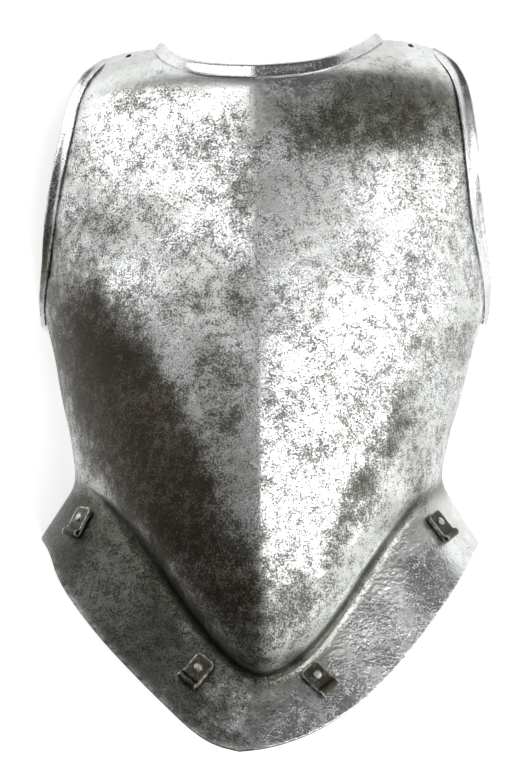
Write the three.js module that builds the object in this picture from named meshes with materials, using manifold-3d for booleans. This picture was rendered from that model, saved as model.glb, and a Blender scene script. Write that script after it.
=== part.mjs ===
// A late sixteenth-century breastplate of peascod form: one raised steel plate with a ridge down
// the middle, plain turned edges at the neck and the armholes, and a wide out-turned flange at the
// waist, which carries four riveted buckle chapes for the tassets. The buckles are gone.
//
// Millimetres. The plate lies on its back edges, hollow side down: z = 0 is the surface that it
// lies on, +Z points out of the chest, +Y towards the neck and +X to the wearer's left.
import * as THREE from "three";
import { mergeVertices } from "three/addons/utils/BufferGeometryUtils.js";
import Module from "manifold-3d";

const wasm = await Module();
wasm.setup();

// ---- Driving dimensions -------------------------------------------------------------------

const plateThickness = 2.4;
const clearance = 0.3; // between pieces that touch on the real object
const span = 300; // more than the plate reaches from the origin any way

// Lines across the plate, from above the neck down to the waist. y, ridge and crown are the place
// and height of the line's middle, on the ridge, half its half width where it meets z = 0, lean how
// much wider the wearer's left half is, rise how far its ends stand above its middle, tilt how far
// the left end stands above the right one, and keel the section's exponent: 1 is a straight-sided
// roof, 2 an ellipse.
const sections = [
  { y: 246, ridge: -7, crown: 16, half: 113, lean: 8, rise: 0, tilt: 5, keel: 1.7 },
  { y: 240, ridge: -7, crown: 28, half: 117, lean: 8, rise: 0, tilt: 5, keel: 1.7 },
  { y: 232, ridge: -7, crown: 43, half: 123, lean: 8.5, rise: 0, tilt: 5, keel: 1.7 },
  { y: 222, ridge: -7, crown: 63, half: 131, lean: 9, rise: 0, tilt: 5, keel: 1.68 },
  { y: 212, ridge: -7, crown: 80, half: 139.5, lean: 10, rise: 0, tilt: 4, keel: 1.66 },
  { y: 200, ridge: -7, crown: 91, half: 146.5, lean: 10.5, rise: 0, tilt: 3, keel: 1.64 },
  { y: 185, ridge: -7, crown: 97.5, half: 152, lean: 10, rise: 0, tilt: 2, keel: 1.6 },
  { y: 165, ridge: -6.5, crown: 104, half: 157, lean: 9, rise: 0, tilt: 1, keel: 1.56 },
  { y: 140, ridge: -6.5, crown: 111, half: 160, lean: 7.5, rise: 0, tilt: 0, keel: 1.53 },
  { y: 110, ridge: -6.5, crown: 120, half: 157.5, lean: 6, rise: 0, tilt: 0, keel: 1.5 },
  { y: 75, ridge: -6, crown: 130, half: 156, lean: 6, rise: 1, tilt: 0, keel: 1.47 },
  { y: 40, ridge: -6, crown: 139, half: 156, lean: 5, rise: 4, tilt: 0, keel: 1.45 },
  { y: 0, ridge: -6, crown: 149, half: 149, lean: 4, rise: 14, tilt: 0, keel: 1.42 },
  { y: -45, ridge: -5.5, crown: 159, half: 143, lean: 2.5, rise: 31, tilt: 0, keel: 1.4 },
  { y: -90, ridge: -5, crown: 168, half: 137, lean: 1, rise: 54, tilt: 0, keel: 1.38 },
  { y: -130, ridge: -4.5, crown: 174.5, half: 133.5, lean: 0, rise: 77, tilt: 0, keel: 1.36 },
  { y: -158, ridge: -4, crown: 177.5, half: 131.5, lean: -1, rise: 94, tilt: 0, keel: 1.34 },
  { y: -178, ridge: -4, crown: 173, half: 131, lean: -1, rise: 106, tilt: 0, keel: 1.32 },
  { y: -190, ridge: -3.5, crown: 160, half: 131, lean: -1, rise: 114, tilt: 0, keel: 1.31 },
  { y: -197, ridge: -3, crown: 137, half: 131, lean: -2, rise: 119, tilt: 0, keel: 1.3 },
];

// The neck's edge from the ridge round to its end on each shoulder, as seen from the front: how far
// it is from the ridge, and its y, on the wearer's right and left.
const neckEdge = [
  { rightOut: 0, rightY: 206, leftOut: 0, leftY: 206 },
  { rightOut: 22, rightY: 207, leftOut: 24, leftY: 208 },
  { rightOut: 40, rightY: 210, leftOut: 44, leftY: 212 },
  { rightOut: 53, rightY: 215, leftOut: 61, leftY: 219 },
  { rightOut: 62, rightY: 222, leftOut: 75, leftY: 227.5 },
  { rightOut: 68, rightY: 230, leftOut: 86, leftY: 237 },
];

// The armhole's edge from the shoulder's corner down to the armpit, as seen from the side: its
// height z, and its y on the wearer's right and left.
const armEdge = [
  { z: 18, rightY: 224.5, leftY: 232 },
  { z: 27, rightY: 211.5, leftY: 214.5 },
  { z: 33, rightY: 197, leftY: 199 },
  { z: 38, rightY: 176.5, leftY: 176.5 },
  { z: 41, rightY: 155, leftY: 155 },
  { z: 40, rightY: 134.5, leftY: 134.5 },
  { z: 34, rightY: 113, leftY: 113 },
  { z: 24, rightY: 90.5, leftY: 90.5 },
  { z: 12, rightY: 67, leftY: 68.5 },
  { z: 0, rightY: 45, leftY: 46 },
];
const shoulderCrown = 0.12; // how far its end bows out, in lines of the table of sections

// The waist flange, from the middle out to each side: the angle round the waist from the ridge,
// and the flange's width there on the wearer's right and left.
const flange = [
  { angle: 0, right: 53, left: 53 },
  { angle: 18, right: 49, left: 51 },
  { angle: 36, right: 59, left: 56 },
  { angle: 54, right: 59.5, left: 57.5 },
  { angle: 72, right: 49, left: 52 },
  { angle: 90, right: 44, left: 46 },
];
const waistSweep = { right: 1.7, left: 2 }; // powers of the curve by which the waist line climbs
const flangeFlare = 33; // degrees from straight down the body
const rootBend = 9; // how far each side of the root its hollow curve reaches
const tipShift = -13; // the flange's point stands to the wearer's right of the ridge
const tipShiftReach = 60;

const neckRollRadius = 5;
const armRollRadius = 4;

// Strap holes near the shoulders' ends, placed along the shoulder from the neck and down the plate.
const strapHole = { radius: 2.4, along: 0.5, down: 0.014 };

// Buckle chapes: side is the wearer's, share the place along the waist from the ridge to the side,
// out the distance from the waist line to the rivet, and turn the chape's turn on the flange.
const chapes = [
  { name: "outer_right", side: -1, share: 0.73, out: 19, turn: 17 },
  { name: "inner_right", side: -1, share: 0.13, out: 20, turn: 10 },
  { name: "inner_left", side: 1, share: 0.12, out: 17, turn: 5 },
  { name: "outer_left", side: 1, share: 0.72, out: 21, turn: -3 },
];
// A chape is a strip folded round a bar: its two leaves lie on each other under the rivet, which
// stands back from the end of the leaves, and the loop reaches past it.
const chape = { width: 15, back: 8.5, reach: 14, leaf: 1.3, corner: 2.5, seat: 0.5 };
const rivet = { head: 3.4, headHeight: 2, shank: 1.7, back: 3, backHeight: 1.1, seat: 0.5 };

// Mesh fineness: rows down the body and the flange, columns from the ridge to each side, how many
// of these the neck and the armhole take, and the sides and steps of the turned edges.
const bodyRows = 28;
const armRows = 14;
const flangeRows = 4;
const halfColumns = 17;
const neckColumns = 10;
const rollSides = 8;
const neckRollSteps = 30;
const armRollSteps = 26;

// ---- Curves through the tables -------------------------------------------------------------

/** A natural cubic curve through the values, as a function of the row number. */
function smoothCurve(values) {
  const last = values.length - 1;
  const bend = values.map(() => 0);
  const load = values.map(() => 0);
  for (let i = 1; i < last; i++) {
    const pivot = bend[i - 1] / 2 + 2;
    const kink = values[i + 1] - 2 * values[i] + values[i - 1];
    bend[i] = -0.5 / pivot;
    load[i] = (3 * kink - load[i - 1] / 2) / pivot;
  }
  bend[last] = 0;
  for (let i = last - 1; i > 0; i--) bend[i] = bend[i] * bend[i + 1] + load[i];
  return (row) => {
    const i = Math.min(Math.max(Math.floor(row), 0), last - 1);
    const b = row - i;
    const a = 1 - b;
    const curve = (a ** 3 - a) * bend[i] + (b ** 3 - b) * bend[i + 1];
    return a * values[i] + b * values[i + 1] + curve / 6;
  };
}

/** The named columns of a table as smooth functions of the row number. */
function columns(table, ...names) {
  return names.map((name) => smoothCurve(table.map((row) => row[name])));
}

/** The place between low and high where a steadily rising or falling function has a value. */
function solve(f, low, high, value) {
  const halvings = 30;
  const rising = f(high) > f(low);
  for (let i = 0; i < halvings; i++) {
    const middle = (low + high) / 2;
    if (f(middle) < value === rising) low = middle;
    else high = middle;
  }
  return (low + high) / 2;
}

const radians = THREE.MathUtils.degToRad;
const mix = THREE.MathUtils.lerp;
const sideName = (side) => (side < 0 ? "right" : "left"); // the wearer's

// ---- The body's surface ---------------------------------------------------------------------

const [lineY, lineRidge, lineCrown, lineHalf, lineLean, lineRise, lineTilt, lineKeel] = columns(
  sections, "y", "ridge", "crown", "half", "lean", "rise", "tilt", "keel",
);
const waistLine = sections.length - 1;

/** A point of the outer surface at an angle round from the ridge and a line of the table. */
function bodyPoint(side, angle, line) {
  const across = Math.abs(Math.sin(angle)) ** (2 / lineKeel(line));
  const x = lineRidge(line) + across * (side * lineHalf(line) + lineLean(line));
  const climb = Math.sin((across * Math.PI) / 2) ** waistSweep[sideName(side)];
  const rise = lineRise(line) * climb;
  const y = lineY(line) + rise + side * across * lineTilt(line);
  return new THREE.Vector3(x, y, lineCrown(line) * Math.cos(angle));
}

/** The place (angle, line) with a given y on one side, where angleAt gives each line's angle. */
function placeOf(side, y, angleAt) {
  const line = solve((row) => bodyPoint(side, angleAt(row), row).y, 0, waistLine, y);
  return { angle: angleAt(line), line };
}

/** The angle of a line's point at a height. */
function angleAtHeight(line, z) {
  return Math.acos(THREE.MathUtils.clamp(z / lineCrown(line), 0, 1));
}

/** The angle of a line's point at a distance from the ridge. */
function angleAtDistance(side, line, out) {
  const across = out / (lineHalf(line) + side * lineLean(line));
  return Math.asin(THREE.MathUtils.clamp(across, 0, 1) ** (lineKeel(line) / 2));
}

/** A curve on the surface's half, given by its place (angle, line) at each t from 0 to 1. */
class SurfaceCurve extends THREE.Curve {
  constructor(side, place) {
    super();
    this.side = side;
    this.place = place;
    this.arcLengthDivisions = 120;
  }
  getPoint(t) {
    const { angle, line } = this.place(t);
    return bodyPoint(this.side, angle, line);
  }
  /** The place at a share of the curve's length. */
  placeAt(share) {
    return this.place(this.getUtoTmapping(THREE.MathUtils.clamp(share, 0, 1)));
  }
}

/** The neck's edge on one side. */
function neckCurve(side) {
  const [out, y] = columns(neckEdge, `${sideName(side)}Out`, `${sideName(side)}Y`);
  const last = neckEdge.length - 1;
  return new SurfaceCurve(side, (t) =>
    placeOf(side, y(t * last), (line) => angleAtDistance(side, line, out(t * last))),
  );
}

/** The armhole's edge on one side. */
function armCurve(side) {
  const [z, y] = columns(armEdge, "z", `${sideName(side)}Y`);
  const last = armEdge.length - 1;
  return new SurfaceCurve(side, (t) =>
    placeOf(side, y(t * last), (line) => angleAtHeight(line, Math.max(0, z(t * last)))),
  );
}

const blend = (a, b, t) => ({ angle: mix(a.angle, b.angle, t), line: mix(a.line, b.line, t) });

/** The plate's half on one side, spread over u from ridge to side and v from top to waist. */
class Half {
  constructor(side) {
    this.side = side;
    this.neck = neckCurve(side);
    this.arm = armCurve(side);
    const neckEnd = this.neck.place(1);
    const corner = this.arm.place(0);
    const armpit = this.arm.place(1);
    const waistEnd = { angle: Math.PI / 2, line: waistLine };
    this.shoulder = new SurfaceCurve(side, (t) => {
      const place = blend(neckEnd, corner, t);
      place.line -= shoulderCrown * Math.sin(Math.PI * t);
      return place;
    });
    this.flank = new SurfaceCurve(side, (t) => blend(armpit, waistEnd, t));
    this.waist = new SurfaceCurve(side, (t) => ({ angle: (t * Math.PI) / 2, line: waistLine }));
    this.corners = { top: this.neck.place(0), bottom: this.waist.place(0), corner, waistEnd };
  }

  /** The place on the top edge, of which the neck takes the first part. */
  top(u) {
    if (u <= neckShare) return this.neck.placeAt(u / neckShare);
    return this.shoulder.placeAt((u - neckShare) / (1 - neckShare));
  }

  /** The place on the side edge, of which the armhole takes the first part. */
  outside(v) {
    if (v <= armShare) return this.arm.placeAt(v / armShare);
    return this.flank.placeAt((v - armShare) / (1 - armShare));
  }

  point(u, v) {
    const { top, bottom, corner, waistEnd } = this.corners;
    const ruled = blend(this.top(u), this.waist.placeAt(u), v);
    const across = blend({ angle: 0, line: mix(top.line, bottom.line, v) }, this.outside(v), u);
    const flat = blend(blend(top, bottom, v), blend(corner, waistEnd, v), u);
    return bodyPoint(
      this.side,
      ruled.angle + across.angle - flat.angle,
      ruled.line + across.line - flat.line,
    );
  }
}

const neckShare = neckColumns / halfColumns;
const armShare = armRows / bodyRows;
const halves = { right: new Half(-1), left: new Half(1) };

/** The body's point at u from -1 (the wearer's right) to 1 and v from 0 to 1. */
function bodyAt(u, v) {
  const half = u < 0 ? halves.right : halves.left;
  return half.point(Math.abs(u), v);
}

// ---- The waist flange -----------------------------------------------------------------------

const [rightWidth, leftWidth] = columns(flange, "right", "left");

/** The way that the flange leaves the waist at u, square to the waist line, as a unit vector. */
function flangeWay(u) {
  const step = 0.01;
  const before = bodyAt(Math.max(u - step, -1), 1);
  const along = bodyAt(Math.min(u + step, 1), 1).sub(before).normalize();
  if (Math.abs(u) === 1) along.set(0, 0, -Math.sign(u));
  const outward = new THREE.Vector3(-along.z, 0, along.x).normalize();
  const down = along.clone().cross(outward);
  const flare = radians(flangeFlare);
  return down.multiplyScalar(Math.cos(flare)).addScaledVector(outward, Math.sin(flare));
}

/** The flange's rim at u from -1 to 1. */
function rimAt(u) {
  const half = u < 0 ? halves.right : halves.left;
  const quarter = half.waist.placeAt(Math.abs(u)).angle / (Math.PI / 2);
  const width = (u < 0 ? rightWidth : leftWidth)(quarter * (flange.length - 1));
  const rim = bodyAt(u, 1).addScaledVector(flangeWay(u), width);
  rim.x += tipShift * Math.exp(-((rim.x / tipShiftReach) ** 2));
  rim.z = Math.max(0, rim.z);
  return rim;
}

// ---- The plate as a grid of points ------------------------------------------------------------

const largestBendShare = 0.9; // of the body's last row, which the root's hollow may take

/** One column of the plate from its top edge to the flange's rim. */
function columnAt(u) {
  const root = bodyAt(u, 1);
  const rim = rimAt(u);
  const flangeStart = root.clone().lerp(rim, rootBend / root.distanceTo(rim));
  const rowHeight = bodyAt(u, 1 - 1 / bodyRows).distanceTo(root);
  const bodyEnd = 1 - Math.min(largestBendShare, rootBend / rowHeight) / bodyRows;
  const points = [];
  for (let i = 0; i <= bodyRows; i++) points.push(bodyAt(u, (bodyEnd * i) / bodyRows));
  const bendStart = points.at(-1);
  for (const t of [0.25, 0.5, 0.75]) {
    const a = bendStart.clone().lerp(root, t);
    points.push(a.lerp(root.clone().lerp(flangeStart, t), t));
  }
  for (let i = 0; i <= flangeRows; i++) points.push(flangeStart.clone().lerp(rim, i / flangeRows));
  return points;
}

const shares = [];
for (let i = -halfColumns; i <= halfColumns; i++) shares.push(i / halfColumns);
const grid = shares.map(columnAt);
const rowCount = grid[0].length;

/** The outward normal at each point of a grid of points. */
function gridNormals(points) {
  const last = { column: points.length - 1, row: points[0].length - 1 };
  return points.map((column, i) =>
    column.map((_, j) => {
      const across = points[Math.min(i + 1, last.column)][j].clone()
        .sub(points[Math.max(i - 1, 0)][j]);
      const down = column[Math.min(j + 1, last.row)].clone().sub(column[Math.max(j - 1, 0)]);
      return down.cross(across).normalize();
    }),
  );
}

const normals = gridNormals(grid);

/** Closes a grid and its copy a thickness behind it into one wall. */
function wallGeometry(points, outward, thickness) {
  const wide = points.length;
  const tall = points[0].length;
  const vertices = [];
  const index = [];
  const at = (i, j, back) => (back * wide + i) * tall + j;
  for (const back of [0, 1])
    for (let i = 0; i < wide; i++)
      for (let j = 0; j < tall; j++) {
        const p = points[i][j].clone().addScaledVector(outward[i][j], -back * thickness);
        if (points[i][j].z < 1e-6) p.z = 0;
        vertices.push(p.x, p.y, p.z);
      }
  const quad = (a, b, c, d) => index.push(a, b, c, a, c, d);
  for (let i = 0; i < wide - 1; i++)
    for (let j = 0; j < tall - 1; j++) {
      quad(at(i, j, 0), at(i, j + 1, 0), at(i + 1, j + 1, 0), at(i + 1, j, 0));
      quad(at(i, j, 1), at(i + 1, j, 1), at(i + 1, j + 1, 1), at(i, j + 1, 1));
    }
  for (let i = 0; i < wide - 1; i++) {
    quad(at(i, 0, 0), at(i + 1, 0, 0), at(i + 1, 0, 1), at(i, 0, 1));
    quad(at(i, tall - 1, 0), at(i, tall - 1, 1), at(i + 1, tall - 1, 1), at(i + 1, tall - 1, 0));
  }
  for (let j = 0; j < tall - 1; j++) {
    quad(at(0, j, 0), at(0, j, 1), at(0, j + 1, 1), at(0, j + 1, 0));
    quad(at(wide - 1, j, 0), at(wide - 1, j + 1, 0), at(wide - 1, j + 1, 1), at(wide - 1, j, 1));
  }
  const geometry = new THREE.BufferGeometry();
  geometry.setAttribute("position", new THREE.Float32BufferAttribute(vertices, 3));
  geometry.setIndex(index);
  return geometry;
}

// ---- Solids ------------------------------------------------------------------------------------

/** A closed geometry as a manifold-3d solid. */
function solidOf(geometry) {
  const bare = geometry.clone();
  bare.deleteAttribute("normal");
  bare.deleteAttribute("uv");
  const merged = mergeVertices(bare, 1e-4);
  return new wasm.Manifold(
    new wasm.Mesh({
      numProp: 3,
      vertProperties: merged.attributes.position.array,
      triVerts: new Uint32Array(merged.index.array),
    }),
  );
}

/** A manifold-3d solid as a geometry. */
function geometryOf(solid) {
  const made = solid.getMesh();
  const geometry = new THREE.BufferGeometry();
  geometry.setAttribute("position", new THREE.BufferAttribute(made.vertProperties, 3));
  geometry.setIndex(new THREE.BufferAttribute(made.triVerts, 1));
  return geometry;
}

/** A round bead that follows a line of points, its back flush with the plate's. */
function bead(points, outward, radius, steps) {
  const lifted = points.map((p, i) => p.clone().addScaledVector(outward[i], radius - plateThickness));
  const section = new THREE.Shape();
  section.absarc(0, 0, radius, 0, 2 * Math.PI);
  const extrudePath = new THREE.CatmullRomCurve3(lifted);
  return solidOf(
    new THREE.ExtrudeGeometry(section, { steps, curveSegments: rollSides / 2, extrudePath }),
  );
}

/** A frame standing on a surface: z along outward, y as near to forward as it goes. */
function standOn(point, outward, forward) {
  const across = forward.clone().cross(outward).normalize();
  return new THREE.Matrix4()
    .makeBasis(across, outward.clone().cross(across), outward)
    .setPosition(point);
}

/** The frame of a chape's rivet on the flange's outer face, y pointing to the rim. */
function chapeFrame({ side, share, out, turn }) {
  const step = 0.01;
  const at = (u) => {
    const root = bodyAt(u, 1);
    return root.addScaledVector(rimAt(u).sub(root).normalize(), out);
  };
  const u = side * share;
  const forward = rimAt(u).sub(bodyAt(u, 1)).normalize();
  const along = at(u + step).sub(at(u - step)).normalize();
  const outward = along.cross(forward).negate().normalize();
  const frame = standOn(at(u), outward, forward);
  return frame.multiply(new THREE.Matrix4().makeRotationZ(radians(turn)));
}

/** The frame of a shoulder's strap hole on the plate's outer face. */
function strapHoleFrame(side) {
  const step = 0.005;
  const u = side * mix(neckShare, 1, strapHole.along);
  const v = strapHole.down;
  const down = bodyAt(u, v + step).sub(bodyAt(u, v - step));
  const across = bodyAt(u + step, v).sub(bodyAt(u - step, v));
  return standOn(bodyAt(u, v), down.clone().cross(across).normalize(), down);
}

/** A round bar along z, from below to above the origin of a frame. */
function bar(radius, frame) {
  const length = 24;
  const sides = 16;
  const geometry = new THREE.CylinderGeometry(radius, radius, length, sides);
  return solidOf(geometry.rotateX(Math.PI / 2).applyMatrix4(frame));
}

/** The bead along the neck's edge. */
function neckBead() {
  const from = halfColumns - neckColumns;
  const to = halfColumns + neckColumns + 1;
  const edge = (rows) => rows.slice(from, to).map((column) => column[0]);
  return bead(edge(grid), edge(normals), neckRollRadius, neckRollSteps);
}

/** The bead along the armhole's edge in the first or the last column. */
function armBead(column) {
  const edge = (rows) => rows.at(column).slice(0, armRows + 2);
  return bead(edge(grid), edge(normals), armRollRadius, armRollSteps);
}

/** The breastplate: plate, turned edges and flange, with its holes, trimmed to z = 0. */
function breastplate() {
  const below = new THREE.BoxGeometry(2 * span, 2 * span, span).translate(0, 0, -span / 2);
  let solid = solidOf(wallGeometry(grid, normals, plateThickness))
    .add(neckBead())
    .add(armBead(0))
    .add(armBead(-1))
    .subtract(solidOf(below));
  for (const side of [-1, 1]) {
    solid = solid.subtract(bar(strapHole.radius, strapHoleFrame(side)));
  }
  for (const row of chapes) {
    solid = solid.subtract(bar(rivet.shank + clearance, chapeFrame(row)));
  }
  return geometryOf(solid);
}

/** A chape about its rivet's axis, standing on z = 0 with its loop towards +y. */
function chapeGeometry() {
  const { width, back, reach, leaf, corner } = chape;
  const radius = 2 * leaf;
  const middle = reach - radius;
  const profile = new THREE.Shape();
  profile.moveTo(-back, 0);
  profile.absarc(middle, radius, radius, -Math.PI / 2, Math.PI, false);
  profile.lineTo(-back, radius);
  profile.holes.push(new THREE.Path().absarc(middle, radius, leaf, 0, 2 * Math.PI, true));
  const settings = { depth: width, bevelEnabled: false, curveSegments: 12 };
  const strip = new THREE.ExtrudeGeometry(profile, settings).translate(0, 0, -width / 2);
  strip.rotateY(Math.PI / 2).rotateX(Math.PI / 2);

  const half = width / 2;
  const spare = 1;
  const outline = new THREE.Shape();
  outline.moveTo(half + spare, reach + spare);
  outline.lineTo(-half - spare, reach + spare);
  outline.lineTo(-half - spare, corner - back);
  outline.absarc(corner - half, corner - back, corner, Math.PI, 1.5 * Math.PI, false);
  outline.absarc(half - corner, corner - back, corner, 1.5 * Math.PI, 2 * Math.PI, false);
  outline.lineTo(half + spare, corner - back);
  const depth = 2 * radius + 2 * spare;
  const trim = new THREE.ExtrudeGeometry(outline, { depth, bevelEnabled: false, curveSegments: 3 });
  const solid = solidOf(strip).intersect(solidOf(trim.translate(0, 0, -spare)));
  return geometryOf(solid.subtract(bar(rivet.shank + clearance, new THREE.Matrix4())));
}

/** A rivet on the z axis: its head stands on height top, its flat back under height bottom. */
function rivetGeometry(top, bottom) {
  const { head, headHeight, shank, back, backHeight } = rivet;
  const chamfer = 0.8; // of the back's radius that is flat
  const domeSteps = 5;
  const outline = [
    new THREE.Vector2(0, bottom - backHeight),
    new THREE.Vector2(back * chamfer, bottom - backHeight),
    new THREE.Vector2(back, bottom - backHeight / 2),
    new THREE.Vector2(back, bottom),
    new THREE.Vector2(shank, bottom),
    new THREE.Vector2(shank, top),
  ];
  for (let i = 0; i < domeSteps; i++) {
    const angle = ((i / domeSteps) * Math.PI) / 2;
    outline.push(new THREE.Vector2(head * Math.cos(angle), top + headHeight * Math.sin(angle)));
  }
  outline.push(new THREE.Vector2(0, top + headHeight));
  return new THREE.LatheGeometry(outline, 14).rotateX(Math.PI / 2);
}

// ---- The assembly ------------------------------------------------------------------------------

const steel = new THREE.MeshStandardMaterial({ color: 0x8f908c, roughness: 0.38, metalness: 1 });
const chapeSteel = new THREE.MeshStandardMaterial({ color: 0x6d6c64, roughness: 0.5, metalness: 1 });
const rivetSteel = new THREE.MeshStandardMaterial({ color: 0xa09f98, roughness: 0.4, metalness: 1 });

function namedMesh(name, geometry, material) {
  const mesh = new THREE.Mesh(geometry, material);
  mesh.name = name;
  return mesh;
}

const cuirass = new THREE.Group();
cuirass.add(namedMesh("breastplate", breastplate(), steel));

const leaves = chapeGeometry();
const rivetTop = chape.seat + 2 * chape.leaf + clearance;
const rivetBottom = -plateThickness - rivet.seat;
const rivetShape = rivetGeometry(rivetTop, rivetBottom);
for (const row of chapes) {
  const fitting = new THREE.Group();
  fitting.applyMatrix4(chapeFrame(row));
  const folded = namedMesh(`tasset_chape_${row.name}`, leaves, chapeSteel);
  folded.position.z = chape.seat;
  fitting.add(folded, namedMesh(`chape_rivet_${row.name}`, rivetShape, rivetSteel));
  cuirass.add(fitting);
}

export default cuirass;
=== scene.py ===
"""A peascod breastplate of the late sixteenth century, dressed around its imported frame.

The plate lies on its back edges, hollow side down. Everything is in metres, in the frame of the
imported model: z = 0 is the surface that it lies on, +Z points out of the chest, +Y towards the
neck and +X to the wearer's left.
"""

import logging
import math
from dataclasses import dataclass
from enum import Enum
from functools import lru_cache
from typing import Any, Callable, NamedTuple, Sequence

import bmesh
import bpy
from mathutils import Matrix, Vector, noise


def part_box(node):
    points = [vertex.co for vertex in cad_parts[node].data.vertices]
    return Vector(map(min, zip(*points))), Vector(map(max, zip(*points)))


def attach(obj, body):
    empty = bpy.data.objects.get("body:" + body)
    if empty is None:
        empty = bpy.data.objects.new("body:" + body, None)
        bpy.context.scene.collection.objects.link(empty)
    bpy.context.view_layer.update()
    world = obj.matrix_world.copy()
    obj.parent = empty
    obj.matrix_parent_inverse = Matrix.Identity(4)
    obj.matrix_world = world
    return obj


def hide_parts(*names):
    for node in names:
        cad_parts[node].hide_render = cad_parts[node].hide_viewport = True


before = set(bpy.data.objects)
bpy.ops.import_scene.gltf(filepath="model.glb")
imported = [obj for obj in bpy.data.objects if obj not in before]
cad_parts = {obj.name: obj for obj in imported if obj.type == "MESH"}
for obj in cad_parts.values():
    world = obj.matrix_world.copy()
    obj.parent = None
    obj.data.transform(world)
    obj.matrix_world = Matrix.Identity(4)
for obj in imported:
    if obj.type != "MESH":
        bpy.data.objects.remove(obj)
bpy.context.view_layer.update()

LOG = logging.getLogger("breastplate")
SHARP = math.radians(50)  # between faces, from which an edge is shaded as a crease
CORNER = math.radians(55)  # from which it is rounded
BODY = "root"
PLATE_NODE = "breastplate"

Curve = Callable[[float], float]
Place = tuple[float, float]  # an angle round from the ridge and a line of the table
Section = list[tuple[float, float]]  # points across and up
Skin = tuple[Vector, Vector, Vector, Section, float]  # as TurnedEdge.skin_at gives it


class Side(Enum):
    """The wearer's sides, with the sign of x on each."""

    RIGHT = -1
    LEFT = 1


class Slot(Enum):
    """The record's material slots."""

    PLATE = "plate_steel"
    CHAPE = "chape_steel"
    RIVET = "rivet_steel"


# ---- The plate's tables -------------------------------------------------------------------------


class BodyLine(NamedTuple):
    """A line across the plate: its middle on the ridge, its half width, how much wider the left
    half is, how far its ends rise, how far the left end stands above the right one, and the
    section's exponent, where 1 is a straight-sided roof and 2 an ellipse."""

    y: float
    ridge: float
    crown: float
    half: float
    lean: float
    rise: float
    tilt: float
    keel: float


class NeckPoint(NamedTuple):
    """A point of the neck's edge: its distance from the ridge and its y on each side."""

    right_out: float
    right_y: float
    left_out: float
    left_y: float


class ArmPoint(NamedTuple):
    """A point of the armhole's edge: its height, and its y on each side."""

    z: float
    right_y: float
    left_y: float


class FlangeWidth(NamedTuple):
    """The flange's width on each side at an angle round the waist from the ridge."""

    angle: float
    right: float
    left: float


BODY_LINES = (
    BodyLine(0.246, -0.007, 0.016, 0.113, 0.008, 0, 0.005, 1.7),
    BodyLine(0.24, -0.007, 0.028, 0.117, 0.008, 0, 0.005, 1.7),
    BodyLine(0.232, -0.007, 0.043, 0.123, 0.0085, 0, 0.005, 1.7),
    BodyLine(0.222, -0.007, 0.063, 0.131, 0.009, 0, 0.005, 1.68),
    BodyLine(0.212, -0.007, 0.08, 0.1395, 0.01, 0, 0.004, 1.66),
    BodyLine(0.2, -0.007, 0.091, 0.1465, 0.0105, 0, 0.003, 1.64),
    BodyLine(0.185, -0.007, 0.0975, 0.152, 0.01, 0, 0.002, 1.6),
    BodyLine(0.165, -0.0065, 0.104, 0.157, 0.009, 0, 0.001, 1.56),
    BodyLine(0.14, -0.0065, 0.111, 0.16, 0.0075, 0, 0, 1.53),
    BodyLine(0.11, -0.0065, 0.12, 0.1575, 0.006, 0, 0, 1.5),
    BodyLine(0.075, -0.006, 0.13, 0.156, 0.006, 0.001, 0, 1.47),
    BodyLine(0.04, -0.006, 0.139, 0.156, 0.005, 0.004, 0, 1.45),
    BodyLine(0, -0.006, 0.149, 0.149, 0.004, 0.014, 0, 1.42),
    BodyLine(-0.045, -0.0055, 0.159, 0.143, 0.0025, 0.031, 0, 1.4),
    BodyLine(-0.09, -0.005, 0.168, 0.137, 0.001, 0.054, 0, 1.38),
    BodyLine(-0.13, -0.0045, 0.1745, 0.1335, 0, 0.077, 0, 1.36),
    BodyLine(-0.158, -0.004, 0.1775, 0.1315, -0.001, 0.094, 0, 1.34),
    BodyLine(-0.178, -0.004, 0.173, 0.131, -0.001, 0.106, 0, 1.32),
    BodyLine(-0.19, -0.0035, 0.16, 0.131, -0.001, 0.114, 0, 1.31),
    BodyLine(-0.197, -0.003, 0.137, 0.131, -0.002, 0.119, 0, 1.3),
)
NECK_EDGE = (
    NeckPoint(0, 0.206, 0, 0.206),
    NeckPoint(0.022, 0.207, 0.024, 0.208),
    NeckPoint(0.04, 0.21, 0.044, 0.212),
    NeckPoint(0.053, 0.215, 0.061, 0.219),
    NeckPoint(0.062, 0.222, 0.075, 0.2275),
    NeckPoint(0.068, 0.23, 0.086, 0.237),
)
ARM_EDGE = (
    ArmPoint(0.018, 0.2245, 0.232),
    ArmPoint(0.027, 0.2115, 0.2145),
    ArmPoint(0.033, 0.197, 0.199),
    ArmPoint(0.038, 0.1765, 0.1765),
    ArmPoint(0.041, 0.155, 0.155),
    ArmPoint(0.04, 0.1345, 0.1345),
    ArmPoint(0.034, 0.113, 0.113),
    ArmPoint(0.024, 0.0905, 0.0905),
    ArmPoint(0.012, 0.067, 0.0685),
    ArmPoint(0, 0.045, 0.046),
)
FLANGE = (
    FlangeWidth(0, 0.053, 0.053),
    FlangeWidth(18, 0.049, 0.051),
    FlangeWidth(36, 0.059, 0.056),
    FlangeWidth(54, 0.0595, 0.0575),
    FlangeWidth(72, 0.049, 0.052),
    FlangeWidth(90, 0.044, 0.046),
)


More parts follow.
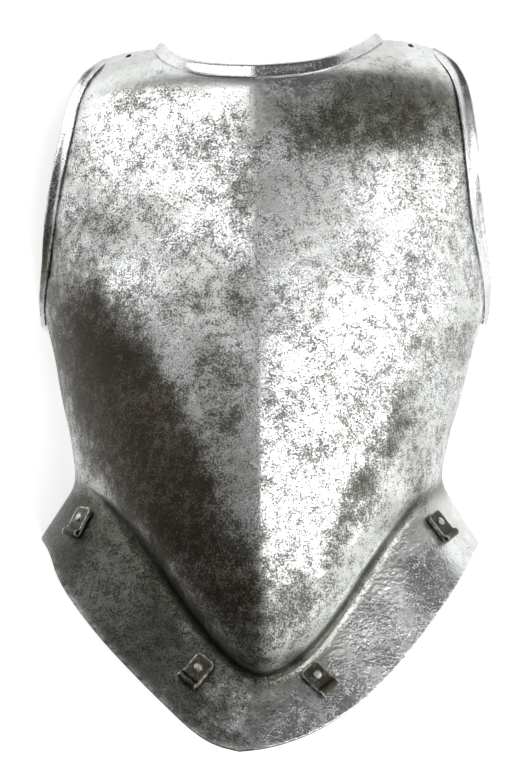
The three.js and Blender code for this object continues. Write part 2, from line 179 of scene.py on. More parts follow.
def smooth_curve(values: Sequence[float]) -> Curve:
    """Draws a natural cubic curve through values.

    Args:
        values: The values at rows 0, 1, 2 and so on.

    Returns:
        The curve as a function of the row number.
    """
    last = len(values) - 1
    bend = [0.0] * (last + 1)
    load = [0.0] * (last + 1)
    for i in range(1, last):
        pivot = bend[i - 1] / 2 + 2
        kink = values[i + 1] - 2 * values[i] + values[i - 1]
        bend[i] = -0.5 / pivot
        load[i] = (3 * kink - load[i - 1] / 2) / pivot
    bend[last] = 0.0
    for i in range(last - 1, 0, -1):
        bend[i] = bend[i] * bend[i + 1] + load[i]

    def at(row: float) -> float:
        """Reads the curve.

        Args:
            row: The row number, whole or between two rows.

        Returns:
            The curve's value there.
        """
        i = min(max(math.floor(row), 0), last - 1)
        b = row - i
        a = 1 - b
        curve = (a**3 - a) * bend[i] + (b**3 - b) * bend[i + 1]
        return a * values[i] + b * values[i + 1] + curve / 6

    return at


def columns(table: Sequence[NamedTuple]) -> dict[str, Curve]:
    """Smooth curves through a table's columns, by the columns' names."""
    return {name: smooth_curve([getattr(row, name) for row in table]) for name in table[0]._fields}


def solve(f: Curve, low: float, high: float, value: float) -> float:
    """Finds where a steadily rising or falling function has a value.

    Args:
        f: The function.
        low: The start of the stretch that is searched.
        high: The end of it.
        value: The value to find.

    Returns:
        The place between low and high.
    """
    halvings = 30
    rising = f(high) > f(low)
    for _ in range(halvings):
        middle = (low + high) / 2
        if (f(middle) < value) == rising:
            low = middle
        else:
            high = middle
    return (low + high) / 2


def clamp(value: float, low: float = 0.0, high: float = 1.0) -> float:
    """A value held between two others."""
    return min(max(value, low), high)


def mix(a: float, b: float, t: float) -> float:
    """The value at t between a and b."""
    return a + (b - a) * t


def blend(a: Place, b: Place, t: float) -> Place:
    """The place at t between two places."""
    return (mix(a[0], b[0], t), mix(a[1], b[1], t))


def fade(distance: float, reach: float) -> float:
    """A share that falls from 1 to nothing over about twice a reach."""
    return math.exp(-((distance / reach) ** 2))


# ---- The plate's form ---------------------------------------------------------------------------


class SurfaceCurve:
    """A curve on one half of the plate's surface, which can be walked by its length."""

    divisions = 120

    def __init__(self, point: Callable[[Place], Vector], place: Callable[[float], Place]) -> None:
        """Measures the curve.

        Args:
            point: Gives the surface's point at a place.
            place: Gives the curve's place at each t from 0 to 1.
        """
        self.place = place
        walked = [point(place(i / self.divisions)) for i in range(self.divisions + 1)]
        self.lengths = [0.0]
        for before, after in zip(walked, walked[1:]):
            self.lengths.append(self.lengths[-1] + (after - before).length)

    def place_at(self, share: float) -> Place:
        """Walks along the curve.

        Args:
            share: The share of the curve's length.

        Returns:
            The place there.
        """
        wanted = clamp(share) * self.lengths[-1]
        i = 0
        while i < self.divisions - 1 and self.lengths[i + 1] < wanted:
            i += 1
        step = self.lengths[i + 1] - self.lengths[i]
        return self.place((i + (wanted - self.lengths[i]) / step) / self.divisions)


class HalfForm:
    """The form of the plate's half on one side, over u from ridge to side and v from top to waist."""

    def __init__(self, side: Side, form: "PlateForm") -> None:
        """Lays out the half's edges.

        Args:
            side: The wearer's side.
            form: The whole plate's form, with its driving dimensions.
        """
        self.side = side
        self.form = form
        self.line = columns(BODY_LINES)
        self.waist_line = len(BODY_LINES) - 1
        sweeps = {Side.RIGHT: form.right_sweep, Side.LEFT: form.left_sweep}
        self.sweep = sweeps[side]
        name = side.name.lower()
        out, neck_y = (columns(NECK_EDGE)[f"{name}_{kind}"] for kind in ("out", "y"))
        height, arm_y = (columns(ARM_EDGE)[key] for key in ("z", f"{name}_y"))
        self.width = columns(FLANGE)[name]
        neck_last = len(NECK_EDGE) - 1
        arm_last = len(ARM_EDGE) - 1

        def neck_place(t: float) -> Place:
            """The neck edge's place at t."""
            wanted = out(t * neck_last)
            return self.place_of(neck_y(t * neck_last), lambda row: self.angle_at_distance(row, wanted))

        def arm_place(t: float) -> Place:
            """The armhole edge's place at t."""
            wanted = max(0.0, height(t * arm_last))
            return self.place_of(arm_y(t * arm_last), lambda row: self.angle_at_height(row, wanted))

        neck_end = neck_place(1)
        self.corner = arm_place(0)
        armpit = arm_place(1)
        self.waist_end = (math.pi / 2, self.waist_line)

        def shoulder_place(t: float) -> Place:
            """The shoulder end's place at t, bowed out between the neck and the armhole."""
            angle, line = blend(neck_end, self.corner, t)
            return (angle, line - form.shoulder_crown * math.sin(math.pi * t))

        self.neck = SurfaceCurve(self.surface, neck_place)
        self.arm = SurfaceCurve(self.surface, arm_place)
        self.shoulder = SurfaceCurve(self.surface, shoulder_place)
        self.flank = SurfaceCurve(self.surface, lambda t: blend(armpit, self.waist_end, t))
        self.waist = SurfaceCurve(self.surface, lambda t: (t * math.pi / 2, self.waist_line))
        self.top_middle = self.neck.place(0)
        self.waist_middle = self.waist.place(0)

    def surface(self, place: Place) -> Vector:
        """Works out the outer surface.

        Args:
            place: The angle round from the ridge and the line of the table.

        Returns:
            The surface's point there.
        """
        angle, row = place
        line = self.line
        side = self.side.value
        across = abs(math.sin(angle)) ** (2 / line["keel"](row))
        climb = math.sin(across * math.pi / 2) ** self.sweep
        return Vector(
            (
                line["ridge"](row) + across * (side * line["half"](row) + line["lean"](row)),
                line["y"](row) + line["rise"](row) * climb + side * across * line["tilt"](row),
                line["crown"](row) * math.cos(angle),
            )
        )

    def place_of(self, y: float, angle_at: Curve) -> Place:
        """The place with a given y, where angle_at gives each line's angle."""
        row = solve(lambda r: self.surface((angle_at(r), r)).y, 0, self.waist_line, y)
        return (angle_at(row), row)

    def angle_at_height(self, row: float, z: float) -> float:
        """The angle of a line's point at a height."""
        return math.acos(clamp(z / self.line["crown"](row)))

    def angle_at_distance(self, row: float, out: float) -> float:
        """The angle of a line's point at a distance from the ridge."""
        across = out / (self.line["half"](row) + self.side.value * self.line["lean"](row))
        return math.asin(clamp(across) ** (self.line["keel"](row) / 2))

    @lru_cache(maxsize=None)
    def top(self, u: float) -> Place:
        """Walks along the top edge, of which the neck takes the first part.

        Args:
            u: The share of the way from the ridge to the side.

        Returns:
            The place there.
        """
        share = self.form.neck_share
        if u <= share:
            return self.neck.place_at(u / share)
        return self.shoulder.place_at((u - share) / (1 - share))

    @lru_cache(maxsize=None)
    def outside(self, v: float) -> Place:
        """Walks down the side edge, of which the armhole takes the first part.

        Args:
            v: The share of the way from the top to the waist.

        Returns:
            The place there.
        """
        share = self.form.arm_share
        if v <= share:
            return self.arm.place_at(v / share)
        return self.flank.place_at((v - share) / (1 - share))

    @lru_cache(maxsize=None)
    def bottom(self, u: float) -> Place:
        """The place on the waist line."""
        return self.waist.place_at(u)

    def point(self, u: float, v: float) -> Vector:
        """Spreads the surface between the half's four edges.

        Args:
            u: The share of the way from the ridge to the side.
            v: The share of the way from the top to the waist.

        Returns:
            The surface's point there.
        """
        ruled = blend(self.top(u), self.bottom(u), v)
        middle = (0.0, mix(self.top_middle[1], self.waist_middle[1], v))
        across = blend(middle, self.outside(v), u)
        ends = blend(self.top_middle, self.waist_middle, v)
        flat = blend(ends, blend(self.corner, self.waist_end, v), u)
        return self.surface((ruled[0] + across[0] - flat[0], ruled[1] + across[1] - flat[1]))


class PlateForm:
    """The outer surface of the whole plate, over u from -1 on the wearer's right to 1 on the left
    and v from 0 at the top to 1 at the waist, with the flange below it."""

    thickness = 0.0024
    neck_share = 10 / 17  # of each half's top edge
    arm_share = 0.5  # of each side edge
    shoulder_crown = 0.12  # how far a shoulder's end bows out, in lines of the table
    right_sweep = 1.7  # powers of the curve by which the waist line climbs
    left_sweep = 2.0
    flare = math.radians(33)  # the flange's turn from straight down the body
    root_bend = 0.009  # how far each side of the root its hollow curve reaches
    bend_row = 1 / 28  # the part of v that the hollow curve may take at the most
    bend_limit = 0.9  # of that part
    tip_shift = -0.013  # the flange's point stands to the wearer's right of the ridge
    tip_reach = 0.06
    step = 0.01  # in u, over which directions are measured

    def __init__(self) -> None:
        """Lays out both halves."""
        self.halves = {side: HalfForm(side, self) for side in Side}

    def half(self, u: float) -> HalfForm:
        """The half that u is on."""
        return self.halves[Side.RIGHT if u < 0 else Side.LEFT]

    def body(self, u: float, v: float) -> Vector:
        """The body's point at u and v."""
        return self.half(u).point(abs(u), v)

    def flange_way(self, u: float) -> Vector:
        """Works out the way in which the flange leaves the waist, square to the waist line.

        Args:
            u: The place from side to side.

        Returns:
            The way, one unit long.
        """
        along = self.body(min(u + self.step, 1), 1) - self.body(max(u - self.step, -1), 1)
        along.normalize()
        if abs(u) == 1:
            along = Vector((0, 0, -math.copysign(1, u)))
        outward = Vector((-along.z, 0, along.x)).normalized()
        return along.cross(outward) * math.cos(self.flare) + outward * math.sin(self.flare)

    def rim(self, u: float) -> Vector:
        """Works out the flange's rim.

        Args:
            u: The place from side to side.

        Returns:
            The rim's point there.
        """
        half = self.half(u)
        quarter = half.bottom(abs(u))[0] / (math.pi / 2)
        width = half.width(quarter * (len(FLANGE) - 1))
        rim = self.body(u, 1) + self.flange_way(u) * width
        rim.x += self.tip_shift * fade(rim.x, self.tip_reach)
        rim.z = max(0.0, rim.z)
        return rim

    def body_end(self, u: float) -> float:
        """The v at which the body passes into the hollow curve of the flange's root."""
        room = (self.body(u, 1 - self.bend_row) - self.body(u, 1)).length
        return 1 - min(self.bend_limit, self.root_bend / room) * self.bend_row

    def column(self, u: float, body_rows: int, bend_rows: int, flange_rows: int) -> list[Vector]:
        """Lays out one column of the plate.

        Args:
            u: The column's place from side to side.
            body_rows: Rows down the body.
            bend_rows: Rows round the flange's root.
            flange_rows: Rows down the flange.

        Returns:
            The column's points from the top edge to the rim.
        """
        root = self.body(u, 1)
        rim = self.rim(u)
        start = root.lerp(rim, self.root_bend / (rim - root).length)
        end = self.body_end(u)
        points = [self.body(u, end * i / body_rows) for i in range(body_rows + 1)]
        last = points[-1]
        for i in range(1, bend_rows):
            t = i / bend_rows
            points.append(last.lerp(root, t).lerp(root.lerp(start, t), t))
        points += [start.lerp(rim, i / flange_rows) for i in range(flange_rows + 1)]
        return points

    def flange_frame(self, u: float, out: float) -> Matrix:
        """A frame on the flange's outer face.

        Args:
            u: The place from side to side.
            out: The distance from the waist line towards the rim.

        Returns:
            The frame, with z out of the face and y towards the rim.
        """

        def at(place: float) -> Vector:
            """The face's point at the same distance from the waist line."""
            root = self.body(place, 1)
            return root + (self.rim(place) - root).normalized() * out

        forward = (self.rim(u) - self.body(u, 1)).normalized()
        along = (at(u + self.step) - at(u - self.step)).normalized()
        return stand_on(at(u), forward.cross(along), forward)


def stand_on(point: Vector, outward: Vector, forward: Vector) -> Matrix:
    """Makes a frame that stands on a surface.

    Args:
        point: The frame's origin.
        outward: Where its z axis points.
        forward: What its y axis is as near to as it goes.

    Returns:
        The frame as a matrix.
    """
    z = outward.normalized()
    x = forward.cross(z).normalized()
    rotation = Matrix((x, z.cross(x), z)).transposed()
    return Matrix.Translation(point) @ rotation.to_4x4()


# ---- Mesh helpers -------------------------------------------------------------------------------


def finish_mesh(
    bm: bmesh.types.BMesh, name: str, finishes: Sequence["SteelFinish"]
) -> bpy.types.Object:
    """Makes an object of a bmesh, with its sharp edges marked.

    Args:
        bm: The mesh, which is freed.
        name: The piece's name.
        finishes: The finishes of its material slots, in order.

    Returns:
        The piece, linked to the scene.
    """
    for face in bm.faces:
        face.smooth = True
    for edge in bm.edges:
        edge.smooth = edge.calc_face_angle(math.pi) < SHARP
    mesh = bpy.data.meshes.new(name)
    bm.to_mesh(mesh)
    bm.free()
    piece = bpy.data.objects.new(name, mesh)
    bpy.context.scene.collection.objects.link(piece)
    for finish in finishes:
        mesh.materials.append(finish.material())
    return piece


def dress(piece: bpy.types.Object, node: str, slot: Slot) -> None:
    """Sets a piece in place of a CAD node and reports it.

    Args:
        piece: The piece.
        node: The CAD node that it replaces.
        slot: The record's material slot that it belongs to; not used.
    """
    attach(piece, BODY)
    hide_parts(node)
    LOG.info("%s: %d faces, for %s", piece.name, len(piece.data.polygons), node)


def round_edges(bm: bmesh.types.BMesh, radius: float) -> None:
    """Rounds a mesh's edges.

    Args:
        bm: The mesh.
        radius: The rounding's radius.
    """
    edges = [e for e in bm.edges if e.is_manifold and e.calc_face_angle() > CORNER]
    bmesh.ops.bevel(
        bm,
        geom=edges,
        offset=radius,
        segments=2,
        profile=0.5,
        affect="EDGES",
        material=-1,
        clamp_overlap=True,
    )


def give_wall(bm: bmesh.types.BMesh, thickness: float, inner_slot: int = 0) -> None:
    """Thickens an open sheet inwards.

    Args:
        bm: The sheet, whose faces point outwards.
        thickness: The wall's thickness.
        inner_slot: The material slot of the new inner faces.
    """
    bm.normal_update()
    outer = set(bm.faces)
    bmesh.ops.solidify(bm, geom=bm.faces[:], thickness=thickness)
    for face in bm.faces:
        face.material_index = 0 if face in outer else inner_slot


def bore(bm: bmesh.types.BMesh, frame_at: Matrix, radius: float, reach: float) -> None:
    """Opens a round hole in a sheet.

    Args:
        bm: The sheet, before it gets its wall.
        frame_at: A frame whose z axis runs through the hole.
        radius: The hole's radius.
        reach: How far along the axis, either way, the sheet is pierced.
    """
    inverse = frame_at.inverted()

    def beside(point: Vector) -> Vector:
        """A point in the hole's frame."""
        return inverse @ point

    near = [v for v in bm.verts if beside(v.co).length < radius + reach]
    faces = {face for vertex in near for face in vertex.link_faces}
    gone = [f for f in faces if beside(f.calc_center_median()).xy.length < radius]
    edge = {vertex for face in gone for vertex in face.verts}
    bmesh.ops.delete(bm, geom=gone, context="FACES")
    for vertex in edge:
        if vertex.is_valid and vertex.is_boundary:
            local = beside(vertex.co)
            local.xy = local.xy.normalized() * radius
            vertex.co = frame_at @ local


def settle(bm: bmesh.types.BMesh, node: str) -> None:
    """Moves a mesh so that its box has the same middle as a CAD node's.

    Args:
        bm: The mesh.
        node: The CAD node.
    """
    low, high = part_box(node)
    for axis in range(3):
        places = [vertex.co[axis] for vertex in bm.verts]
        shift = Vector((0, 0, 0))
        shift[axis] = (low[axis] + high[axis] - min(places) - max(places)) / 2
        bmesh.ops.translate(bm, vec=shift, verts=bm.verts[:])


def ripple(point: Vector, size: float, seed: float) -> float:
    """Smooth noise between about -1 and 1 with bumps of a size."""
    return noise.noise(point / size + Vector((seed, -seed, 2 * seed)))


# ---- The plate ----------------------------------------------------------------------------------


class ShadeAndPatinaPatch(NamedTuple):
    """A patch of painted shade, a dark band of reflection painted into the colour, with old brown
    patina in some, seen from the front: its middle, its reach along and across, the turn of its
    long axis in degrees, its strength, and how brown it is."""

    x: float
    y: float
    along: float
    across: float
    turn: float
    strength: float
    brown: float


# Painted shade: each patch paints a dark band of reflection into the plate's colour; the brown ones are
# also patina.
SHADE_AND_PATINA_PATCHES = (
    ShadeAndPatinaPatch(-0.085, -0.042, 0.135, 0.042, -61, 1.15, 1.0),  # down the wearer's right flank
    ShadeAndPatinaPatch(-0.035, -0.125, 0.075, 0.036, -62, 0.9, 1.0),  # and on to the ridge's lower end
    ShadeAndPatinaPatch(-0.118, 0.055, 0.040, 0.016, -75, 0.6, 0.6),  # under the right armhole
    ShadeAndPatinaPatch(0.075, 0.178, 0.085, 0.034, 8, 0.85, 0.0),  # below the wearer's left shoulder
    ShadeAndPatinaPatch(-0.085, 0.190, 0.050, 0.016, 4, 0.45, 0.0),  # the bend at the right shoulder
    ShadeAndPatinaPatch(-0.018, 0.060, 0.160, 0.012, 90, 0.35, 0.2),  # beside the ridge
    ShadeAndPatinaPatch(-0.030, -0.030, 0.100, 0.022, -82, 0.5, 0.5),  # and lower down beside it
    ShadeAndPatinaPatch(0.070, -0.060, 0.105, 0.013, 65, 0.5, 0.0),  # along the left flank
    ShadeAndPatinaPatch(0.014, -0.150, 0.040, 0.022, 70, 0.45, 0.1),  # left of the ridge's lower end
)


def painted(point: Vector) -> tuple[float, float]:
    """Reads the patches of painted shade and patina, of which the strongest counts.

    Args:
        point: A point of the plate.

    Returns:
        How strong the painted shade and patina are there, and how brown.
    """
    strength = 0.0
    brown = 0.0
    for stain in SHADE_AND_PATINA_PATCHES:
        turn = Matrix.Rotation(math.radians(-stain.turn), 2)
        turned = turn @ Vector((point.x - stain.x, point.y - stain.y))
        distance = Vector((turned.x / stain.along, turned.y / stain.across)).length
        here = stain.strength * math.exp(-(distance**3))
        brown = max(brown, here * stain.brown)
        strength = max(strength, here)
    return strength, brown


@dataclass
class PlateWall:
    """The raised plate with its flange: one wall, slightly uneven from the hammer."""

    form: PlateForm
    half_columns: int = 115
    body_rows: int = 124
    bend_rows: int = 8
    flange_rows: int = 28
    edge_radius: float = 0.0005
    strap_hole: float = 0.0024
    strap_along: float = 0.5  # along the shoulder from the neck
    strap_down: float = 0.014  # of v
    rivet_hole: float = 0.002
    dents: tuple[tuple[float, float], ...] = ((0.055, 0.00035), (0.022, 0.00016), (0.009, 0.00005))
    dent_seed: float = 300  # times a dent's size
    flange_buckle: float = 0.0006
    buckle_size: float = 0.045
    buckle_seed: float = 5.0
    flange_patina_and_shade: float = 0.55  # on the flange's middle: patina, with painted shade
    flange_shade_fall: float = 6.5  # by which the painted shade falls off for each metre towards the wearer's left
    patina_range: tuple[float, float] = (0.12, 1.2)  # within which it stays
    crease_shade_reach: float = 0.009  # how far from the root its line of painted shade fades out
    rim_reach: float = 0.003  # and from the rim its rubbed line
    top_reach: float = 0.0025  # and from the top edge
    hole_depth: float = 0.004
    hole_step: float = 0.005  # in u and v, over which the plate's lie at a hole is measured
    ground: float = 1e-6

    def strap_frame(self, side: Side) -> Matrix:
        """Finds a shoulder's strap hole.

        Args:
            side: The wearer's side.

        Returns:
            The hole's frame.
        """
        step = self.hole_step
        u = side.value * mix(self.form.neck_share, 1, self.strap_along)
        down = self.form.body(u, self.strap_down + step) - self.form.body(u, self.strap_down - step)
        across = self.form.body(u + step, self.strap_down) - self.form.body(u - step, self.strap_down)
        return stand_on(self.form.body(u, self.strap_down), down.cross(across), down)

    def hammered(self, point: Vector, flange: float) -> float:
        """How far the surface stands off its true form at a point."""
        offset = sum(depth * ripple(point, size, size * self.dent_seed) for size, depth in self.dents)
        buckle = ripple(point, self.buckle_size, self.buckle_seed)
        return offset + flange * self.flange_buckle * buckle

    def build(self, rivets: Sequence[Matrix]) -> bpy.types.Object:
        """Builds the plate.

        Args:
            rivets: The frames of the chapes' rivets.

        Returns:
            The plate as a piece.
        """
        bm = bmesh.new()
        self._raise(bm)
        self._hammer(bm)
        for side in Side:
            bore(bm, self.strap_frame(side), self.strap_hole, self.hole_depth)
        for rivet in rivets:
            bore(bm, rivet, self.rivet_hole, self.hole_depth)
        give_wall(bm, self.form.thickness, inner_slot=1)
        round_edges(bm, self.edge_radius)
        for vertex in bm.verts:
            vertex.co.z = max(vertex.co.z, 0.0)
        piece = finish_mesh(bm, "plate_wall", (PLATE_FACE, PLATE_BACK))
        dress(piece, PLATE_NODE, Slot.PLATE)
        return piece

    def _raise(self, bm: bmesh.types.BMesh) -> None:
        """Lays a grid over the plate's form and paints the values that its finish reads.

        Args:
            bm: The empty mesh that takes the grid.
        """
        rows = self.body_rows + self.bend_rows + self.flange_rows
        bmesh.ops.create_grid(bm, x_segments=2 * self.half_columns, y_segments=rows, size=1)
        names = ("flange", "root", "edge", "patina", "brown")
        flange, root, edge, patina, brown = (bm.verts.layers.float.new(name) for name in names)
        turn = self.body_rows + self.bend_rows / 2
        strips: dict[int, list[Vector]] = {}
        for vertex in bm.verts:
            column = round(vertex.co.x * self.half_columns)
            row = round((1 - vertex.co.y) / 2 * rows)
            if column not in strips:
                u = column / self.half_columns
                strips[column] = self.form.column(u, self.body_rows, self.bend_rows, self.flange_rows)
            strip = strips[column]
            vertex.co = strip[row]
            vertex[flange] = clamp((row - turn) / (self.bend_rows / 2))
            # Painted shade: a dark line along the crease at the flange's root.
            vertex[root] = fade((strip[row] - strip[round(turn)]).length, self.crease_shade_reach)
            vertex[edge] = max(
                fade((strip[row] - strip[-1]).length, self.rim_reach),
                fade((strip[row] - strip[0]).length, self.top_reach),
            )
            # Painted shade and patina, from the patches.
            vertex[patina], vertex[brown] = painted(vertex.co)
            # Painted shade: the flange is painted darker towards the wearer's right, over its patina.
            on_flange = clamp(self.flange_patina_and_shade - vertex.co.x * self.flange_shade_fall, *self.patina_range)
            vertex[patina] = mix(vertex[patina], on_flange, vertex[flange])
            vertex[brown] *= 1 - vertex[flange]

    def _hammer(self, bm: bmesh.types.BMesh) -> None:
        """Makes the sheet uneven, but for the edge that it lies on.

        Args:
            bm: The sheet.
        """
        flange = bm.verts.layers.float["flange"]
        bm.normal_update()
        for vertex in bm.verts:
            on_floor = vertex.co.z < self.ground
            vertex.co += vertex.normal * self.hammered(vertex.co, vertex[flange])
            if on_floor:
                vertex.co.z = 0


class LipWear(NamedTuple):
    """How far a turned edge's lip is set back, and lifted, at a share of its length."""

    share: float
    back: float
    lift: float


RIGHT_LIP_WEAR = (
    LipWear(0.0, 0, 0),
    LipWear(0.66, 0, 0),
    LipWear(0.67, 0.0010, 0.0003),
    LipWear(0.70, 0.0002, 0.0006),
    LipWear(0.745, -0.0004, 0.0007),
    LipWear(0.75, 0.0030, -0.0006),  # a crack across the lip
    LipWear(0.755, -0.0008, 0.0009),
    LipWear(0.79, -0.0006, 0.0008),
    LipWear(0.795, 0.0034, -0.0008),  # and another
    LipWear(0.80, 0.0008, 0.0),
    LipWear(0.88, 0.0012, 0.0),
    LipWear(1.0, 0.0024, 0.0),
)


@dataclass
class TurnedEdge:
    """An edge turned outwards over itself: a hollow round, and a lip hammered down on the plate."""

    form: PlateForm
    name: str
    radius: float
    shift: float  # of the round's centre out past the plate's edge
    turn: float  # degrees that the round takes from the plate's back
    lip_reach: float
    lip_height: float
    end_share: float  # of the lip's reach that is left at both ends
    start_size: float  # of the whole section at its start, from which it grows
    growth: float = 0.1  # the share of the length in which it reaches its full size
    stations: int = 150
    arc_steps: int = 14
    lip_steps: int = 7
    wall: float = 0.0015
    uneven: float = 0.00022
    lip_ripples: tuple[tuple[float, float], ...] = ((0.012, 3), (0.004, 9))  # sizes and seeds
    face_ripple: tuple[float, float] = (0.01, 7)
    face_share: float = 0.5  # how much less uneven the face is than the lip
    wear: tuple[LipWear, ...] = ()
    aged: float = 0.0  # how brown the edge is, where along it, and over what share
    aged_middle: float = 0.72
    aged_spread: float = 0.2
    rubbed: float = 0.05  # the share of the section, from the lip's edge, that is rubbed bright
    edge_radius: float = 0.0004

    def section(self, reach: float, lift: float) -> Section:
        """Draws the outer skin's section.

        Args:
            reach: The lip's reach from the plate's edge.
            lift: How much higher the lip's edge stands.

        Returns:
            Points from the lip's edge over the round to the plate's back: out past the edge, and up.
        """
        centre = self.radius - self.form.thickness
        turns = [math.radians(self.turn) * i / self.arc_steps for i in range(self.arc_steps + 1)]
        arc = [
            (self.shift + self.radius * math.sin(a), centre - self.radius * math.cos(a)) for a in turns
        ]
        out, up = arc[-1]
        fall = (math.cos(turns[-1]), math.sin(turns[-1]))
        run = (self.lip_height - up) / fall[1]
        knee = (out + run * fall[0], self.lip_height)
        tip = (-reach, self.lip_height + lift)
        lip = []
        for i in range(1, self.lip_steps + 1):
            t = i / self.lip_steps
            before = [mix(a, b, t) for a, b in zip((out, up), knee)]
            after = [mix(a, b, t) for a, b in zip(knee, tip)]
            lip.append((mix(before[0], after[0], t), mix(before[1], after[1], t)))
        return list(reversed(arc + lip))

    def station(self, share: float) -> tuple[Vector, Vector, Vector]:
        """Finds a station of the edge.

        Args:
            share: The share of the edge's length.

        Returns:
            The plate's point there, the way out past its edge, and its normal.
        """
        raise NotImplementedError

    def worn(self, share: float) -> tuple[float, float]:
        """Reads the table of wear.

        Args:
            share: The share of the edge's length.

        Returns:
            How far the lip is set back there, and how far it is lifted.
        """
        for before, after in zip(self.wear, self.wear[1:]):
            if before.share <= share <= after.share:
                t = (share - before.share) / max(after.share - before.share, 1e-6)
                return (mix(before.back, after.back, t), mix(before.lift, after.lift, t))
        return (0.0, 0.0)

    def skin_at(self, share: float) -> Skin:
        """Works out the outer skin at one station.

        Args:
            share: The share of the edge's length.

        Returns:
            The plate's point there, the ways out past its edge and up from its face, the section,
            and the section's size.
        """
        point, out, normal = self.station(share)
        back, lift = self.worn(share)
        middle = math.sin(math.pi * share) ** 0.5
        reach = self.lip_reach * mix(self.end_share, 1, middle) - back
        reach += self.uneven * sum(ripple(point, *one) for one in self.lip_ripples)
        size = mix(self.start_size, 1, math.sin(clamp(share / self.growth) * math.pi / 2))
        return point, out, normal, self.section(reach, lift), size

    def build(self) -> bpy.types.Object:
        """Builds the turned edge.

        Returns:
            The edge as a piece.
        """
        steps = self.arc_steps + self.lip_steps
        bm = bmesh.new()
        bmesh.ops.create_grid(bm, x_segments=self.stations, y_segments=steps, size=1)
        edge, patina, brown = (bm.verts.layers.float.new(key) for key in ("edge", "patina", "brown"))
        skins: dict[int, Skin] = {}
        for vertex in bm.verts:
            i = round((vertex.co.x + 1) / 2 * self.stations)
            j = round((vertex.co.y + 1) / 2 * steps)
            if i not in skins:
                skins[i] = self.skin_at(i / self.stations)
            point, out, normal, skin, size = skins[i]
            across, up = (size * value for value in skin[j])
            up -= (1 - size) * self.form.thickness
            vertex.co = point + out * across + normal * up
            vertex.co += normal * self.uneven * self.face_share * ripple(vertex.co, *self.face_ripple)
            vertex[edge] = fade(j / steps, self.rubbed)
            aged = self.aged * fade(i / self.stations - self.aged_middle, self.aged_spread)
            vertex[patina] = aged
            vertex[brown] = aged
        bm.normal_update()
        if self.inside_out(bm, skins[self.stations // 2]):
            bmesh.ops.reverse_faces(bm, faces=bm.faces[:])
        give_wall(bm, self.wall)
        round_edges(bm, self.edge_radius)
        self._cut_level(bm)
        piece = finish_mesh(bm, self.name, (TURNED_STEEL,))
        dress(piece, PLATE_NODE, Slot.PLATE)
        return piece

    def inside_out(self, bm: bmesh.types.BMesh, skin: Skin) -> bool:
        """Tests which way the sheet's faces point.

        Args:
            bm: The sheet.
            skin: The skin at its middle station.

        Returns:
            Whether the faces point into the round.
        """
        point, out, normal = skin[:3]
        centre_height = self.radius - self.form.thickness
        outermost = point + out * (self.shift + self.radius) + normal * centre_height
        nearest = min(bm.faces, key=lambda f: (f.calc_center_median() - outermost).length)
        return nearest.normal.dot(out) < 0

    def _cut_level(self, bm: bmesh.types.BMesh) -> None:
        """Cuts off what reaches below the surface that the plate lies on, and closes the cut.

        Args:
            bm: The turned edge, with its wall.
        """
        bmesh.ops.bisect_plane(
            bm,
            geom=bm.verts[:] + bm.edges[:] + bm.faces[:],
            plane_co=(0, 0, 0),
            plane_no=(0, 0, -1),
            clear_outer=True,
        )
        cut = [e for e in bm.edges if e.is_boundary]
        if cut:
            bmesh.ops.holes_fill(bm, edges=cut, sides=0)


@dataclass
class NeckEdge(TurnedEdge):
    """The turned edge round the neck, from shoulder to shoulder."""

    name: str = "neck_turned_edge"
    radius: float = 0.0033
    shift: float = 0.0017
    turn: float = 205
    lip_reach: float = 0.0062
    lip_height: float = 0.0015
    end_share: float = 0.7
    start_size: float = 1.0
    normal_reach: float = 1 / 28  # in v, over which the plate's lie at the edge is measured
    across_reach: float = 1 / 17  # in u

    def station(self, share: float) -> tuple[Vector, Vector, Vector]:
        """Finds a station of the edge.

        Args:
            share: The share of the edge's length.

        Returns:
            The plate's point there, the way out past its edge, and its normal.
        """
        u = mix(-self.form.neck_share, self.form.neck_share, share)
        point = self.form.body(u, 0)
        down = self.form.body(u, self.normal_reach) - point
        along = self.form.body(u + self.across_reach, 0) - self.form.body(u - self.across_reach, 0)
        normal = down.cross(along).normalized()
        return point, normal.cross(along).normalized(), normal


@dataclass
class ArmEdge(TurnedEdge):
    """The turned edge round one armhole, from the shoulder's corner down to the floor."""

    radius: float = 0.0037
    shift: float = 0.0005
    turn: float = 218
    lip_reach: float = 0.0105
    lip_height: float = 0.0021
    end_share: float = 0.9
    start_size: float = 0.45
    side: Side = Side.LEFT
    reach: float = 15 / 28  # in v
    normal_reach: float = 1 / 28
    across_reach: float = 1 / 17

    def station(self, share: float) -> tuple[Vector, Vector, Vector]:
        """Finds a station of the edge.

        Args:
            share: The share of the edge's length.

        Returns:
            The plate's point there, the way out past its edge, and its normal.
        """
        sign = self.side.value
        v = self.reach * share
        point = self.form.body(sign, v)
        low = max(v - self.normal_reach, 0)
        down = self.form.body(sign, v + self.normal_reach) - self.form.body(sign, low)
        across = (point - self.form.body(sign * (1 - self.across_reach), v)) * sign
        normal = down.cross(across).normalized()
        out = normal.cross(down).normalized()
        return point, out * math.copysign(1, out.x * sign), normal


def arm_edges(form: PlateForm) -> tuple[ArmEdge, ArmEdge]:
    """Describes the two arm edges, of which the right one is cracked and brown low down.

    Args:
        form: The plate's form.

    Returns:
        The right edge and the left one.
    """
    return (
        ArmEdge(
            form,
            "right_arm_turned_edge",
            side=Side.RIGHT,
            lip_reach=0.0078,
            wear=RIGHT_LIP_WEAR,
            aged=0.85,
        ),
        ArmEdge(form, "left_arm_turned_edge", side=Side.LEFT),
    )


# ---- The chapes ---------------------------------------------------------------------------------


class ChapePlace(NamedTuple):
    """Where a chape sits: the side, the share of the way round the waist, the distance from the
    waist line, the turn on the flange in degrees, how far its loop is bent up, and the seed of its
    unevenness."""

    name: str
    side: Side
    share: float
    out: float
    turn: float
    bend: float
    seed: float


